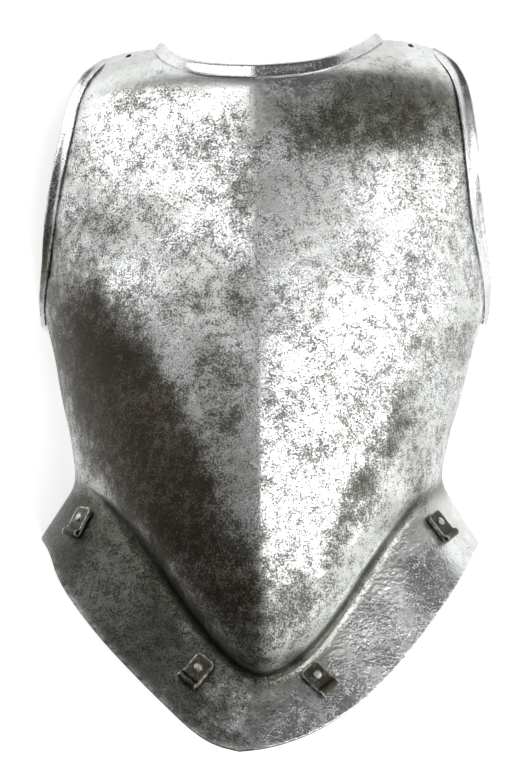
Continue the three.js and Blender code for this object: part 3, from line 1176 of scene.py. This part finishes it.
CHAPES = (
    ChapePlace("outer_right", Side.RIGHT, 0.73, 0.019, 17, 0.0, 1.0),
    ChapePlace("inner_right", Side.RIGHT, 0.13, 0.020, 10, 0.0, 2.0),
    ChapePlace("inner_left", Side.LEFT, 0.12, 0.017, 5, 0.0003, 3.0),
    ChapePlace("outer_left", Side.LEFT, 0.72, 0.021, -3, 0.0, 4.0),
)


@dataclass
class Chape:
    """A buckle chape: a strip folded round a bar, riveted to the flange; its buckle is gone."""

    form: PlateForm
    place: ChapePlace
    width: float = 0.015
    back: float = 0.0085  # from the rivet to the strip's ends
    reach: float = 0.014  # from the rivet to the loop's far side
    leaf: float = 0.0013
    corner: float = 0.004
    seat: float = 0.0005  # over the flange
    clearance: float = 0.0003  # under the rivet's head
    wall: float = 0.0012
    columns: int = 20
    row_length: float = 0.0006
    knuckle: float = 252  # degrees that the strip takes round its bar
    knuckle_steps: int = 18
    heel: tuple[float, float] = (0.0009, 0.0001)  # back from the knuckle's end, and down
    gap_shade: tuple[float, float] = (4.6, 2.2)  # the middle of the painted shade behind the loop, in leaves: back from the loop, and up
    gap_shade_reach: float = 0.0013
    side_rubbed_and_highlit: float = 0.09  # the share of the half width that is rubbed bright, also a painted highlight
    end_rubbed_and_highlit: float = 0.0009
    lift: float = 0.0002  # of the lower leaf
    trim: float = 0.0002  # off the half width
    frayed: tuple[float, float] = (0.006, 0.0003)  # a ripple's size and depth, on the sides
    hammered: tuple[float, float] = (0.004, 0.00012)  # and on the faces
    hole: float = 0.0017
    hole_depth: float = 0.004
    edge_radius: float = 0.00028

    def frame(self) -> Matrix:
        """The frame of the chape's rivet on the flange's outer face."""
        at = self.form.flange_frame(self.place.side.value * self.place.share, self.place.out)
        return at @ Matrix.Rotation(math.radians(self.place.turn), 4, "Z")

    def path(self) -> Section:
        """Draws the fold's outer skin from the side.

        Returns:
            Points from the lower leaf's back round the bar to the upper one's: y towards the rim,
            and height.
        """
        radius = 2 * self.leaf
        middle = self.reach - radius
        low = self._run((-self.back, 0), (middle, 0))
        knuckle = math.radians(self.knuckle)
        turns = [
            -math.pi / 2 + knuckle * i / self.knuckle_steps for i in range(1, self.knuckle_steps + 1)
        ]
        over = [(middle + radius * math.cos(a), radius + radius * math.sin(a)) for a in turns]
        heel = (over[-1][0] - self.heel[0], 2 * self.leaf - self.heel[1])
        top = self._run(heel, (-self.back, 2 * self.leaf))
        return low + over + top

    def _run(self, start: tuple[float, float], end: tuple[float, float]) -> Section:
        """Lays points along a straight stretch.

        Args:
            start: Where it starts.
            end: Where it ends.

        Returns:
            The points, both ends among them.
        """
        steps = max(2, round(math.dist(start, end) / self.row_length))
        shares = [i / steps for i in range(steps + 1)]
        return [(mix(start[0], end[0], t), mix(start[1], end[1], t)) for t in shares]

    def half_width(self, y: float, height: float) -> float:
        """Works out half the strip's width, which is less at its rounded corners.

        Args:
            y: The place along the strip.
            height: The height in the fold.

        Returns:
            Half the width there.
        """
        from_back = y + self.back
        cut = 0.0
        if from_back < self.corner:
            cut = self.corner - math.sqrt(max(self.corner**2 - (self.corner - from_back) ** 2, 0))
        size, depth = self.frayed
        frayed = depth * ripple(Vector((y, height, self.place.seed)), size, self.place.seed)
        return self.width / 2 - cut - self.trim + frayed

    def build(self) -> None:
        """Builds the folded strip and its rivet."""
        bm = bmesh.new()
        self._fold(bm)
        bore(bm, Matrix.Identity(4), self.hole, self.hole_depth)
        self._wall(bm)
        round_edges(bm, self.edge_radius)
        seated = self.frame() @ Matrix.Translation((0, 0, self.seat))
        bmesh.ops.transform(bm, matrix=seated, verts=bm.verts[:])
        settle(bm, f"tasset_chape_{self.place.name}")
        piece = finish_mesh(bm, f"folded_chape_{self.place.name}", (CHAPE_STEEL,))
        dress(piece, f"tasset_chape_{self.place.name}", Slot.CHAPE)
        top = self.seat + 2 * self.leaf + self.clearance
        Rivet(self.place, top, -self.form.thickness - self.seat).build(self.frame())

    def _fold(self, bm: bmesh.types.BMesh) -> None:
        """Lays a grid along the folded path and paints the values that its finish reads.

        Args:
            bm: The empty mesh that takes the grid.
        """
        path = self.path()
        rows = len(path) - 1
        bmesh.ops.create_grid(bm, x_segments=self.columns, y_segments=rows, size=1)
        edge = bm.verts.layers.float.new("edge")
        root = bm.verts.layers.float.new("root")
        gap_shade = (self.reach - self.gap_shade[0] * self.leaf, self.gap_shade[1] * self.leaf)
        size, depth = self.hammered
        for vertex in bm.verts:
            y, z = path[round((1 - vertex.co.y) / 2 * rows)]
            share = vertex.co.x
            bend = self.place.bend * clamp(y / self.reach) ** 2
            # Rubbed wear and painted highlights along the strip's sides and back end.
            vertex[edge] = max(
                fade(1 - abs(share), self.side_rubbed_and_highlit), fade(y + self.back, self.end_rubbed_and_highlit)
            )
            # Painted shade in the gap behind the loop.
            vertex[root] = fade(math.dist((y, z), gap_shade), self.gap_shade_reach)
            vertex.co = Vector((share * self.half_width(y, z), y, z + bend + self.lift))
            vertex.co.z += depth * ripple(vertex.co, size, self.place.seed)

    def _wall(self, bm: bmesh.types.BMesh) -> None:
        """Thickens the strip towards the inside of its fold.

        Args:
            bm: The folded strip.
        """
        bm.normal_update()
        lowest = min(bm.faces, key=lambda f: f.calc_center_median().z)
        if lowest.normal.z > 0:
            bmesh.ops.reverse_faces(bm, faces=bm.faces[:])
        give_wall(bm, self.wall)


@dataclass
class Rivet:
    """A round-headed rivet, hammered flat-topped, with its end spread behind the plate."""

    place: ChapePlace
    top: float
    bottom: float
    head: float = 0.0034
    head_height: float = 0.002
    rim: float = 0.96  # the share of the head's radius that it has underneath
    sunk: float = 0.0002
    flatness: float = 0.55  # the dome's power, where 1 is round
    shank: float = 0.0017
    back: float = 0.003
    back_height: float = 0.0011
    back_rim: float = 0.8  # the share of the back's radius that is flat
    sides: int = 40
    dome_steps: int = 9
    hammered: tuple[float, float] = (0.0022, 0.00016)  # a ripple's size and depth
    uneven: tuple[float, float] = (0.004, 0.05)  # and its size and share of the radius

    def outline(self) -> Section:
        """Draws the rivet's half section.

        Returns:
            Points from its back to its top: distance from the axis, and height.
        """
        points = [
            (0.0, self.bottom - self.back_height),
            (self.back * self.back_rim, self.bottom - self.back_height),
            (self.back, self.bottom - self.back_height / 2),
            (self.back, self.bottom),
            (self.shank, self.bottom),
            (self.shank, self.top - self.sunk),
            (self.head * self.rim, self.top - self.sunk),
        ]
        for i in range(self.dome_steps):
            angle = i / self.dome_steps * math.pi / 2
            out = self.head * math.cos(angle) ** self.flatness
            points.append((out, self.top + self.head_height * math.sin(angle)))
        points.append((0.0, self.top + self.head_height))
        return points

    def build(self, frame_at: Matrix) -> None:
        """Spins the rivet and sets it in its hole.

        Args:
            frame_at: The hole's frame.
        """
        bm = bmesh.new()
        chain = [bm.verts.new((radius, 0, height)) for radius, height in self.outline()]
        profile = [bm.edges.new(pair) for pair in zip(chain, chain[1:])]
        bmesh.ops.spin(
            bm,
            geom=chain + profile,
            cent=(0, 0, 0),
            axis=(0, 0, 1),
            angle=2 * math.pi,
            steps=self.sides,
            use_merge=True,
        )
        bmesh.ops.remove_doubles(bm, verts=bm.verts[:], dist=1e-6)
        bmesh.ops.recalc_face_normals(bm, faces=bm.faces[:])
        edge = bm.verts.layers.float.new("edge")
        size, depth = self.hammered
        round_size, share = self.uneven
        for vertex in bm.verts:
            rise = clamp((vertex.co.z - self.top) / self.head_height)
            vertex[edge] = rise**2
            if rise > 0:
                vertex.co.z += depth * ripple(vertex.co, size, self.place.seed + 4) * rise
                vertex.co.xy *= 1 + share * ripple(vertex.co, round_size, self.place.seed)
        bmesh.ops.transform(bm, matrix=frame_at, verts=bm.verts[:])
        settle(bm, f"chape_rivet_{self.place.name}")
        piece = finish_mesh(bm, f"hammered_rivet_{self.place.name}", (RIVET_STEEL,))
        dress(piece, f"chape_rivet_{self.place.name}", Slot.RIVET)


# ---- Shader helpers -----------------------------------------------------------------------------

Socket = bpy.types.NodeSocket
Tint = tuple[float, float, float]
WHITE = (1, 1, 1, 1)


class Graph:
    """Adds nodes to a node tree and joins them."""

    def __init__(self, tree: bpy.types.NodeTree) -> None:
        """Starts on an empty tree."""
        self.tree = tree

    def add(self, kind: str, inputs: dict[Any, Any] | None = None, **settings: Any) -> bpy.types.Node:
        """Adds a node.

        Args:
            kind: The node's type.
            inputs: Values, or the sockets that feed it, by the inputs' names or numbers.
            **settings: The node's own settings.

        Returns:
            The node.
        """
        node = self.tree.nodes.new(kind)
        for key, value in settings.items():
            setattr(node, key, value)
        for key, value in (inputs or {}).items():
            if isinstance(value, Socket):
                self.tree.links.new(value, node.inputs[key])
            else:
                node.inputs[key].default_value = value
        return node

    def math(self, operation: str, a: Any, b: Any = 0.0) -> Socket:
        """One step of arithmetic."""
        return self.add("ShaderNodeMath", {0: a, 1: b}, operation=operation).outputs[0]

    def ramp(self, value: Any, low: Any, high: Any) -> Socket:
        """A smooth ramp from 0 at low to 1 at high."""
        inputs = {"Value": value, "From Min": low, "From Max": high}
        return self.add("ShaderNodeMapRange", inputs, interpolation_type="SMOOTHSTEP").outputs["Result"]

    def tint(self, factor: Any, a: Any, b: Any) -> Socket:
        """A colour between two colours."""
        inputs = {0: factor, 6: _rgba(a), 7: _rgba(b)}
        return self.add("ShaderNodeMix", inputs, data_type="RGBA").outputs[2]

    def level(self, factor: Any, a: Any, b: Any) -> Socket:
        """A value between two values."""
        return self.add("ShaderNodeMix", {0: factor, 2: a, 3: b}, data_type="FLOAT").outputs[0]

    def attribute(self, name: str) -> Socket:
        """A value painted on the mesh."""
        return self.add("ShaderNodeAttribute", attribute_name=name).outputs["Fac"]

    def noise(self, vector: Socket, size: float, detail: float = 3.0, rough: float = 0.55) -> Socket:
        """Cloudy noise around 0.5 with bumps of a size."""
        inputs = {"Vector": vector, "Scale": 1 / size, "Detail": detail, "Roughness": rough}
        return self.add("ShaderNodeTexNoise", inputs).outputs["Fac"]

    def effect(self, group: bpy.types.NodeTree, **inputs: Any) -> bpy.types.Node:
        """Places a node group, with its inputs given by name."""
        return self.add("ShaderNodeGroup", inputs, node_tree=group)


def _rgba(value: Any) -> Any:
    """A tint with its alpha, or a socket as it is."""
    return value if isinstance(value, Socket) else (*value, 1.0)


def new_group(name: str, inputs: dict[str, str], outputs: dict[str, str]) -> tuple[Any, Any, Any]:
    """Starts a node group.

    Args:
        name: The group's name.
        inputs: Its inputs' names and kinds.
        outputs: Its outputs' names and kinds.

    Returns:
        The group, its graph and its input node's sockets, after which close_group ends it.
    """
    group = bpy.data.node_groups.new(name, "ShaderNodeTree")
    for direction, sockets in (("INPUT", inputs), ("OUTPUT", outputs)):
        for key, kind in sockets.items():
            group.interface.new_socket(key, in_out=direction, socket_type=f"NodeSocket{kind}")
    return group, Graph(group), group.nodes.new("NodeGroupInput").outputs


def close_group(group: bpy.types.NodeTree, **results: Socket) -> bpy.types.NodeTree:
    """Ends a node group.

    Args:
        group: The group.
        **results: The sockets that feed its outputs, by name.

    Returns:
        The group.
    """
    end = group.nodes.new("NodeGroupOutput")
    for key, socket in results.items():
        group.links.new(socket, end.inputs[key])
    return group


@lru_cache(maxsize=None)
def pitting() -> bpy.types.NodeTree:
    """Makes rust pits that run together where there are many.

    Returns:
        A group that puts out their mask and the height that they take away.
    """
    patch_size, gathering = 0.006, 0.35  # the pits gather in patches
    bare, fall = 0.67, 0.27  # the noise over which a pit starts, and how far the amount lowers it
    inner, outer = 0.07, 0.1  # how far a pit's border reaches above and below that
    kinds = {"Vector": "Vector", "Size": "Float", "Amount": "Float"}
    group, graph, given = new_group("pitting", kinds, {"Mask": "Float", "Height": "Float"})
    scale = graph.math("DIVIDE", 1.0, given["Size"])
    inputs = {"Vector": given["Vector"], "Scale": scale, "Detail": 4.0, "Roughness": 0.75}
    grain = graph.add("ShaderNodeTexNoise", inputs).outputs["Fac"]
    wide = graph.math("SUBTRACT", graph.noise(given["Vector"], patch_size), 0.5)
    grain = graph.math("ADD", grain, graph.math("MULTIPLY", wide, gathering))
    line = graph.math("SUBTRACT", bare, graph.math("MULTIPLY", given["Amount"], fall))
    low = graph.math("SUBTRACT", line, outer)
    high = graph.math("ADD", line, inner)
    mask = graph.ramp(grain, low, high)
    return close_group(group, Mask=mask, Height=graph.math("MULTIPLY", mask, -1.0))


@lru_cache(maxsize=None)
def clouds() -> bpy.types.NodeTree:
    """Makes stains with broken borders.

    Returns:
        A group that puts out a mask over a share of the surface.
    """
    bare, fall = 0.72, 0.44  # the noise over which a stain starts, and how far the cover lowers it
    kinds = {"Vector": "Vector", "Size": "Float", "Cover": "Float", "Softness": "Float"}
    group, graph, given = new_group("clouds", kinds, {"Mask": "Float"})
    scale = graph.math("DIVIDE", 1.0, given["Size"])
    inputs = {"Vector": given["Vector"], "Scale": scale, "Detail": 7.0, "Roughness": 0.62}
    cloud = graph.add("ShaderNodeTexNoise", inputs).outputs["Fac"]
    line = graph.math("SUBTRACT", bare, graph.math("MULTIPLY", given["Cover"], fall))
    low = graph.math("SUBTRACT", line, given["Softness"])
    high = graph.math("ADD", line, given["Softness"])
    return close_group(group, Mask=graph.ramp(cloud, low, high))


@lru_cache(maxsize=None)
def scratches() -> bpy.types.NodeTree:
    """Makes fine lines from polishing, drawn out one way.

    Returns:
        A group that puts out their height.
    """
    drawn_out = (1.0, 0.05, 0.4)
    kinds = {"Vector": "Vector", "Width": "Float"}
    group, graph, given = new_group("scratches", kinds, {"Height": "Float"})
    drawn = graph.add("ShaderNodeMapping", {"Vector": given["Vector"], "Scale": drawn_out})
    scale = graph.math("DIVIDE", 1.0, given["Width"])
    inputs = {"Vector": drawn.outputs[0], "Scale": scale, "Detail": 2.0}
    return close_group(group, Height=graph.add("ShaderNodeTexNoise", inputs).outputs["Fac"])


@lru_cache(maxsize=None)
def edge_wear() -> bpy.types.NodeTree:
    """Makes edges rubbed bright, and on the chapes painted highlights, from the mesh's edge value,
    broken up by noise.

    Returns:
        A group that puts out their mask.
    """
    break_size, low, high = 0.006, 0.3, 0.62  # of the noise that breaks them up
    kinds = {"Edge": "Float", "Vector": "Vector", "Amount": "Float"}
    group, graph, given = new_group("edge wear", kinds, {"Mask": "Float"})
    broken = graph.ramp(graph.noise(given["Vector"], break_size, 4.0), low, high)
    rubbed = graph.math("MULTIPLY", graph.math("MULTIPLY", given["Edge"], broken), given["Amount"])
    return close_group(group, Mask=graph.math("MINIMUM", rubbed, 1.0))


# ---- Finishes -----------------------------------------------------------------------------------


class Cloud(NamedTuple):
    """How large the patches of a stain are, and how soft their borders."""

    size: float
    softness: float


class Masks(NamedTuple):
    """The masks that a steel finish is mixed from, and the height of its pits."""

    place: Socket
    film: Socket
    stain: Socket
    rust: Socket
    patina: Socket
    flange: Socket
    pits: Socket
    pit_height: Socket
    wear: Socket
    aged: Socket  # the film or the patina and painted shade, whichever is stronger


@dataclass(frozen=True)
class SteelFinish:
    """Old polished steel: bright metal, dull film, dark stain, brown rust, pits, and painted shade in
    its dark patches and creases.
    """

    name: str
    bright: Tint = (0.64, 0.655, 0.645)
    dull: Tint = (0.46, 0.47, 0.45)
    # the stain colour also paints the shade in the dark patches and along the creases
    stain: Tint = (0.085, 0.084, 0.065)
    rust: Tint = (0.062, 0.043, 0.028)
    tarnish_and_shade: Tint = (0.014, 0.014, 0.009)  # the flange's patina, darkened further as painted shade
    pit: Tint = (0.02, 0.017, 0.011)
    roughness: float = 0.24
    dull_roughness: float = 0.34
    stain_roughness: float = 0.05  # that it adds to the dull one
    pit_roughness: float = 0.45
    film: float = 0.45  # share under the dull film
    stained: float = 0.1
    rusted: float = 0.05
    film_cloud: Cloud = Cloud(0.055, 0.16)
    stain_cloud: Cloud = Cloud(0.03, 0.07)
    rust_cloud: Cloud = Cloud(0.018, 0.06)
    stain_strength: float = 0.5
    rust_strength: float = 0.4
    pits: float = 0.45  # how crowded the pits are on clean metal
    patina_pits: float = 0.42  # how much more crowded they are under the patina and painted shade
    pit_patch: tuple[float, float] = (0.03, 1.2)  # the size and strength of their clusters
    most_pits: float = 1.1
    clean_above: tuple[float, float] = (0.15, 0.22)  # the height over which the pits thin out
    spared: float = 0.4  # how much fewer they are up there, and on the flange
    pit_size: float = 0.0012
    pit_depth: float = 0.00007
    pit_strength: float = 0.82
    patina_strength: float = 0.92
    patina_break: tuple[float, float] = (0.02, 1.2)  # the size and strength of its broken borders
    patina_ramp: tuple[float, float] = (0.1, 0.95)
    patina_start: float = 0.25  # of the painted value, under which it fades to nothing
    # of the painted shade along the root crease and behind a chape's loop
    crease_shade_strength: float = 0.85
    scratch_width: float = 0.0006
    scratch_depth: float = 0.00001
    grain: float = 0.00018
    grain_size: float = 0.0028
    clean_grain: float = 0.3  # the share of the grain on clean metal
    flange_grain: float = 3.5  # how many times coarser the skin is on the flange
    wear: float = 0.25

    @lru_cache(maxsize=None)
    def material(self) -> bpy.types.Material:
        """Builds the finish's nodes, once.

        Returns:
            The finish's material.
        """
        material = bpy.data.materials.new(self.name)
        material.use_nodes = True
        graph = Graph(material.node_tree)
        masks = self._masks(graph)
        shader = material.node_tree.nodes["Principled BSDF"]
        graph.tree.links.new(self._colour(graph, masks), shader.inputs["Base Color"])
        graph.tree.links.new(self._roughness(graph, masks), shader.inputs["Roughness"])
        graph.tree.links.new(self._relief(graph, masks), shader.inputs["Normal"])
        shader.inputs["Metallic"].default_value = 1.0
        return material

    def _masks(self, graph: Graph) -> Masks:
        """Draws the masks.

        Args:
            graph: The material's nodes.

        Returns:
            The masks.
        """
        place = graph.add("ShaderNodeTexCoord").outputs["Object"]
        film = self._cloud(graph, place, self.film_cloud, self.film)
        stain = self._cloud(graph, place, self.stain_cloud, self.stained)
        rust = self._cloud(graph, place, self.rust_cloud, self.rusted)
        patina = self._patina_and_shade(graph, place)
        flange = graph.attribute("flange")
        amount = self._pit_amount(graph, place, patina, flange)
        pits = graph.effect(pitting(), Vector=place, Size=self.pit_size, Amount=amount).outputs
        edge = graph.attribute("edge")
        wear = graph.effect(edge_wear(), Edge=edge, Vector=place, Amount=self.wear).outputs[0]
        aged = graph.math("MAXIMUM", film, patina)
        return Masks(
            place, film, stain, rust, patina, flange, pits["Mask"], pits["Height"], wear, aged
        )

    def _cloud(self, graph: Graph, place: Socket, cloud: Cloud, cover: float) -> Socket:
        """Lays a stain over a share of the surface.

        Args:
            graph: The material's nodes.
            place: The surface's coordinates.
            cloud: The size and softness of the stain's patches.
            cover: The share that it covers.

        Returns:
            The stain's mask.
        """
        softness = cloud.softness
        node = graph.effect(clouds(), Vector=place, Size=cloud.size, Cover=cover, Softness=softness)
        return node.outputs[0]

    def _patina_and_shade(self, graph: Graph, place: Socket) -> Socket:
        """Breaks up the borders of the patina and painted shade on the mesh.

        Args:
            graph: The material's nodes.
            place: The surface's coordinates.

        Returns:
            The mask of patina and painted shade.
        """
        size, strength = self.patina_break
        broken = graph.math("SUBTRACT", graph.noise(place, size, 6.0, 0.7), 0.5)
        painted_on = graph.attribute("patina")
        mottled = graph.math("ADD", painted_on, graph.math("MULTIPLY", broken, strength))
        start = graph.ramp(painted_on, 0.0, self.patina_start)
        return graph.math("MULTIPLY", graph.ramp(mottled, *self.patina_ramp), start)

    def _pit_amount(self, graph: Graph, place: Socket, patina: Socket, flange: Socket) -> Socket:
        """Works out how crowded the pits are.

        Args:
            graph: The material's nodes.
            place: The surface's coordinates.
            patina: The mask of patina and painted shade.
            flange: The flange's mask.

        Returns:
            The amount of pits.
        """
        size, strength = self.pit_patch
        patches = graph.math("SUBTRACT", graph.noise(place, size, 5.0, 0.6), 0.5)
        crowd = graph.math("ADD", self.pits, graph.math("MULTIPLY", patina, self.patina_pits))
        amount = graph.math("ADD", crowd, graph.math("MULTIPLY", patches, strength))
        height = graph.add("ShaderNodeSeparateXYZ", {0: place}).outputs["Y"]
        spared = graph.math("MULTIPLY", graph.ramp(height, *self.clean_above), self.spared)
        spared = graph.math("ADD", spared, graph.math("MULTIPLY", flange, self.spared))
        amount = graph.math("SUBTRACT", amount, spared)
        return graph.math("MAXIMUM", graph.math("MINIMUM", amount, self.most_pits), 0.0)

    def _colour(self, graph: Graph, masks: Masks) -> Socket:
        """Mixes the finish's colour.

        Args:
            graph: The material's nodes.
            masks: The finish's masks.

        Returns:
            The colour.
        """
        dark = graph.tint(graph.attribute("brown"), self.stain, self.rust)
        # Painted shade: the flange's dark colour is its patina darkened further.
        dark = graph.tint(masks.flange, dark, self.tarnish_and_shade)
        colour = graph.tint(masks.film, self.bright, self.dull)
        layers = (
            (masks.stain, self.stain_strength, self.stain),
            (masks.rust, self.rust_strength, self.rust),
            # Painted shade, partly patina: the painted patches and the flange's darkening.
            (masks.patina, self.patina_strength, dark),
            # Painted shade: the dark line along the flange's root crease and behind a chape's loop.
            (graph.attribute("root"), self.crease_shade_strength, self.stain),
            (masks.pits, self.pit_strength, self.pit),
        )
        for mask, strength, tint in layers:
            colour = graph.tint(graph.math("MULTIPLY", mask, strength), colour, tint)
        return graph.tint(masks.wear, colour, self.bright)

    def _roughness(self, graph: Graph, masks: Masks) -> Socket:
        """Mixes the finish's roughness.

        Args:
            graph: The material's nodes.
            masks: The finish's masks.

        Returns:
            The roughness.
        """
        stained = graph.math("MAXIMUM", masks.stain, masks.rust)
        rough = graph.level(masks.aged, self.roughness, self.dull_roughness)
        rough = graph.level(stained, rough, self.dull_roughness + self.stain_roughness)
        rough = graph.level(masks.pits, rough, self.pit_roughness)
        return graph.level(masks.wear, rough, self.roughness)

    def _relief(self, graph: Graph, masks: Masks) -> Socket:
        """Adds up the heights of the pits, the scratches and the metal's grain.

        Args:
            graph: The material's nodes.
            masks: The finish's masks.

        Returns:
            The normal.
        """
        lines = graph.effect(scratches(), Vector=masks.place, Width=self.scratch_width).outputs[0]
        grain = graph.math("MULTIPLY", graph.level(masks.aged, self.clean_grain, 1.0), self.grain)
        grain = graph.math("MULTIPLY", grain, graph.level(masks.flange, 1.0, self.flange_grain))
        skin = graph.math("MULTIPLY", graph.noise(masks.place, self.grain_size, 4.0, 0.6), grain)
        height = graph.math("MULTIPLY", masks.pit_height, self.pit_depth)
        height = graph.math("ADD", height, graph.math("MULTIPLY", lines, self.scratch_depth))
        height = graph.math("ADD", height, skin)
        bump = graph.add("ShaderNodeBump", {"Height": height, "Distance": 1.0, "Strength": 1.0})
        return bump.outputs["Normal"]


@dataclass(frozen=True)
class FloorFinish:
    """A plain white studio floor."""

    name: str = "white_floor"
    tint: Tint = (0.9, 0.9, 0.9)
    roughness: float = 0.8
    specular: float = 0.2
    glow: float = 0.55

    def material(self) -> bpy.types.Material:
        """Sets up the floor's shader.

        Returns:
            The floor's material.
        """
        material = bpy.data.materials.new(self.name)
        material.use_nodes = True
        shader = material.node_tree.nodes["Principled BSDF"]
        shader.inputs["Base Color"].default_value = _rgba(self.tint)
        shader.inputs["Roughness"].default_value = self.roughness
        shader.inputs["Specular IOR Level"].default_value = self.specular
        shader.inputs["Emission Color"].default_value = WHITE
        shader.inputs["Emission Strength"].default_value = self.glow
        return material


PLATE_FACE = SteelFinish("plate_face")
PLATE_BACK = SteelFinish(
    "plate_back",
    bright=(0.26, 0.25, 0.22),
    dull=(0.14, 0.13, 0.11),
    roughness=0.5,
    dull_roughness=0.65,
    rusted=0.4,
    stained=0.4,
    wear=0.2,
)
TURNED_STEEL = SteelFinish(
    "turned_edge",
    dull=(0.42, 0.415, 0.43),
    roughness=0.22,
    dull_roughness=0.3,
    film=0.4,
    stained=0.15,
    pits=0.12,
    grain=0.0001,
    wear=0.8,
)
CHAPE_STEEL = SteelFinish(
    "chape_metal",
    bright=(0.66, 0.65, 0.6),
    dull=(0.26, 0.255, 0.22),
    roughness=0.34,
    dull_roughness=0.46,
    film=1.0,
    stained=0.7,
    rusted=0.5,
    pits=0.85,
    pit_size=0.0011,
    grain=0.0005,
    # full wear, which on the chapes also paints highlights along their edges
    wear=1.0,
)
RIVET_STEEL = SteelFinish(
    "rivet_metal",
    roughness=0.3,
    film=0.6,
    stained=0.4,
    pits=0.8,
    pit_size=0.0011,
    grain=0.0004,
    wear=0.6,
)


# ---- The studio ---------------------------------------------------------------------------------


@dataclass(frozen=True)
class SoftBox:
    """A large soft light, placed by the edge of it that the plate reflects."""

    name: str
    edge_start: tuple[float, float, float]  # as directions seen from the plate
    edge_end: tuple[float, float, float]
    spread: float  # degrees that the light reaches past its edge
    radiance: float
    distance: float = 2.6
    target: tuple[float, float, float] = (0.0, 0.0, 0.1)

    def build(self) -> None:
        """Hangs the light."""
        start = Vector(self.edge_start).normalized()
        end = Vector(self.edge_end).normalized()
        past = start.cross(end).normalized()
        middle = (start + end).normalized()
        half = math.radians(self.spread) / 2
        centre = middle * math.cos(half) + past * math.sin(half)
        across = (end - start).normalized()
        edge_distance = self.distance / math.cos(half)
        width = 2 * edge_distance * math.tan(start.angle(end) / 2)
        height = 2 * self.distance * math.tan(half)
        data = bpy.data.lights.new(self.name, "AREA")
        data.shape = "RECTANGLE"
        data.size = width
        data.size_y = height
        data.energy = self.radiance * math.pi * width * height
        light = bpy.data.objects.new(self.name, data)
        rotation = Matrix((across, centre.cross(across), centre)).transposed().to_4x4()
        light.matrix_world = Matrix.Translation(Vector(self.target) + centre * self.distance) @ rotation
        bpy.context.scene.collection.objects.link(light)
        LOG.info("%s: %.2f by %.2f m", self.name, width, height)


@dataclass(frozen=True)
class Studio:
    """The floor, the light and the camera."""

    lights: tuple[SoftBox, ...]
    floor_size: float = 12.0
    world: float = 0.07
    camera_place: tuple[float, float, float] = (-0.0045, -0.00585, 1.6)
    lens: float = 104.6
    camera_reach: float = 50

    def build(self) -> None:
        """Sets up the studio."""
        bm = bmesh.new()
        bmesh.ops.create_grid(bm, x_segments=2, y_segments=2, size=self.floor_size / 2)
        mesh = bpy.data.meshes.new("studio_floor")
        bm.to_mesh(mesh)
        bm.free()
        floor = bpy.data.objects.new("studio_floor", mesh)
        mesh.materials.append(FloorFinish().material())
        bpy.context.scene.collection.objects.link(floor)
        for light in self.lights:
            light.build()
        world = bpy.data.worlds.new("studio")
        world.use_nodes = True
        background = world.node_tree.nodes["Background"]
        background.inputs["Color"].default_value = WHITE
        background.inputs["Strength"].default_value = self.world
        bpy.context.scene.world = world
        data = bpy.data.cameras.new("camera")
        data.lens = self.lens
        data.clip_end = self.camera_reach
        camera = bpy.data.objects.new("camera", data)
        camera.location = self.camera_place
        bpy.context.scene.collection.objects.link(camera)
        bpy.context.scene.camera = camera
        bpy.context.scene.view_settings.view_transform = "Standard"


UPPER_LEFT_BOX = SoftBox(
    "upper_left_box", (-0.975, 0.23, 0.075), (-0.2, 0.53, 0.82), spread=27, radiance=3.6
)
RIGHT_BOX = SoftBox("right_box", (0.985, 0.2, 0.0), (0.22, 0.42, 0.89), spread=19, radiance=6.0)
LOW_FILL = SoftBox("low_fill", (0.95, -0.2, 0.1), (0.12, -0.38, 0.91), spread=34, radiance=2.4)


def main() -> None:
    """Builds the breastplate piece by piece, then the studio round it."""
    logging.basicConfig(level=logging.INFO, format="%(name)s: %(message)s")
    form = PlateForm()
    chapes = [Chape(form, place) for place in CHAPES]
    PlateWall(form).build([chape.frame() for chape in chapes])
    NeckEdge(form).build()
    for arm_edge in arm_edges(form):
        arm_edge.build()
    for chape in chapes:
        chape.build()
    Studio((UPPER_LEFT_BOX, RIGHT_BOX, LOW_FILL)).build()


if __name__ == "__main__":
    main()
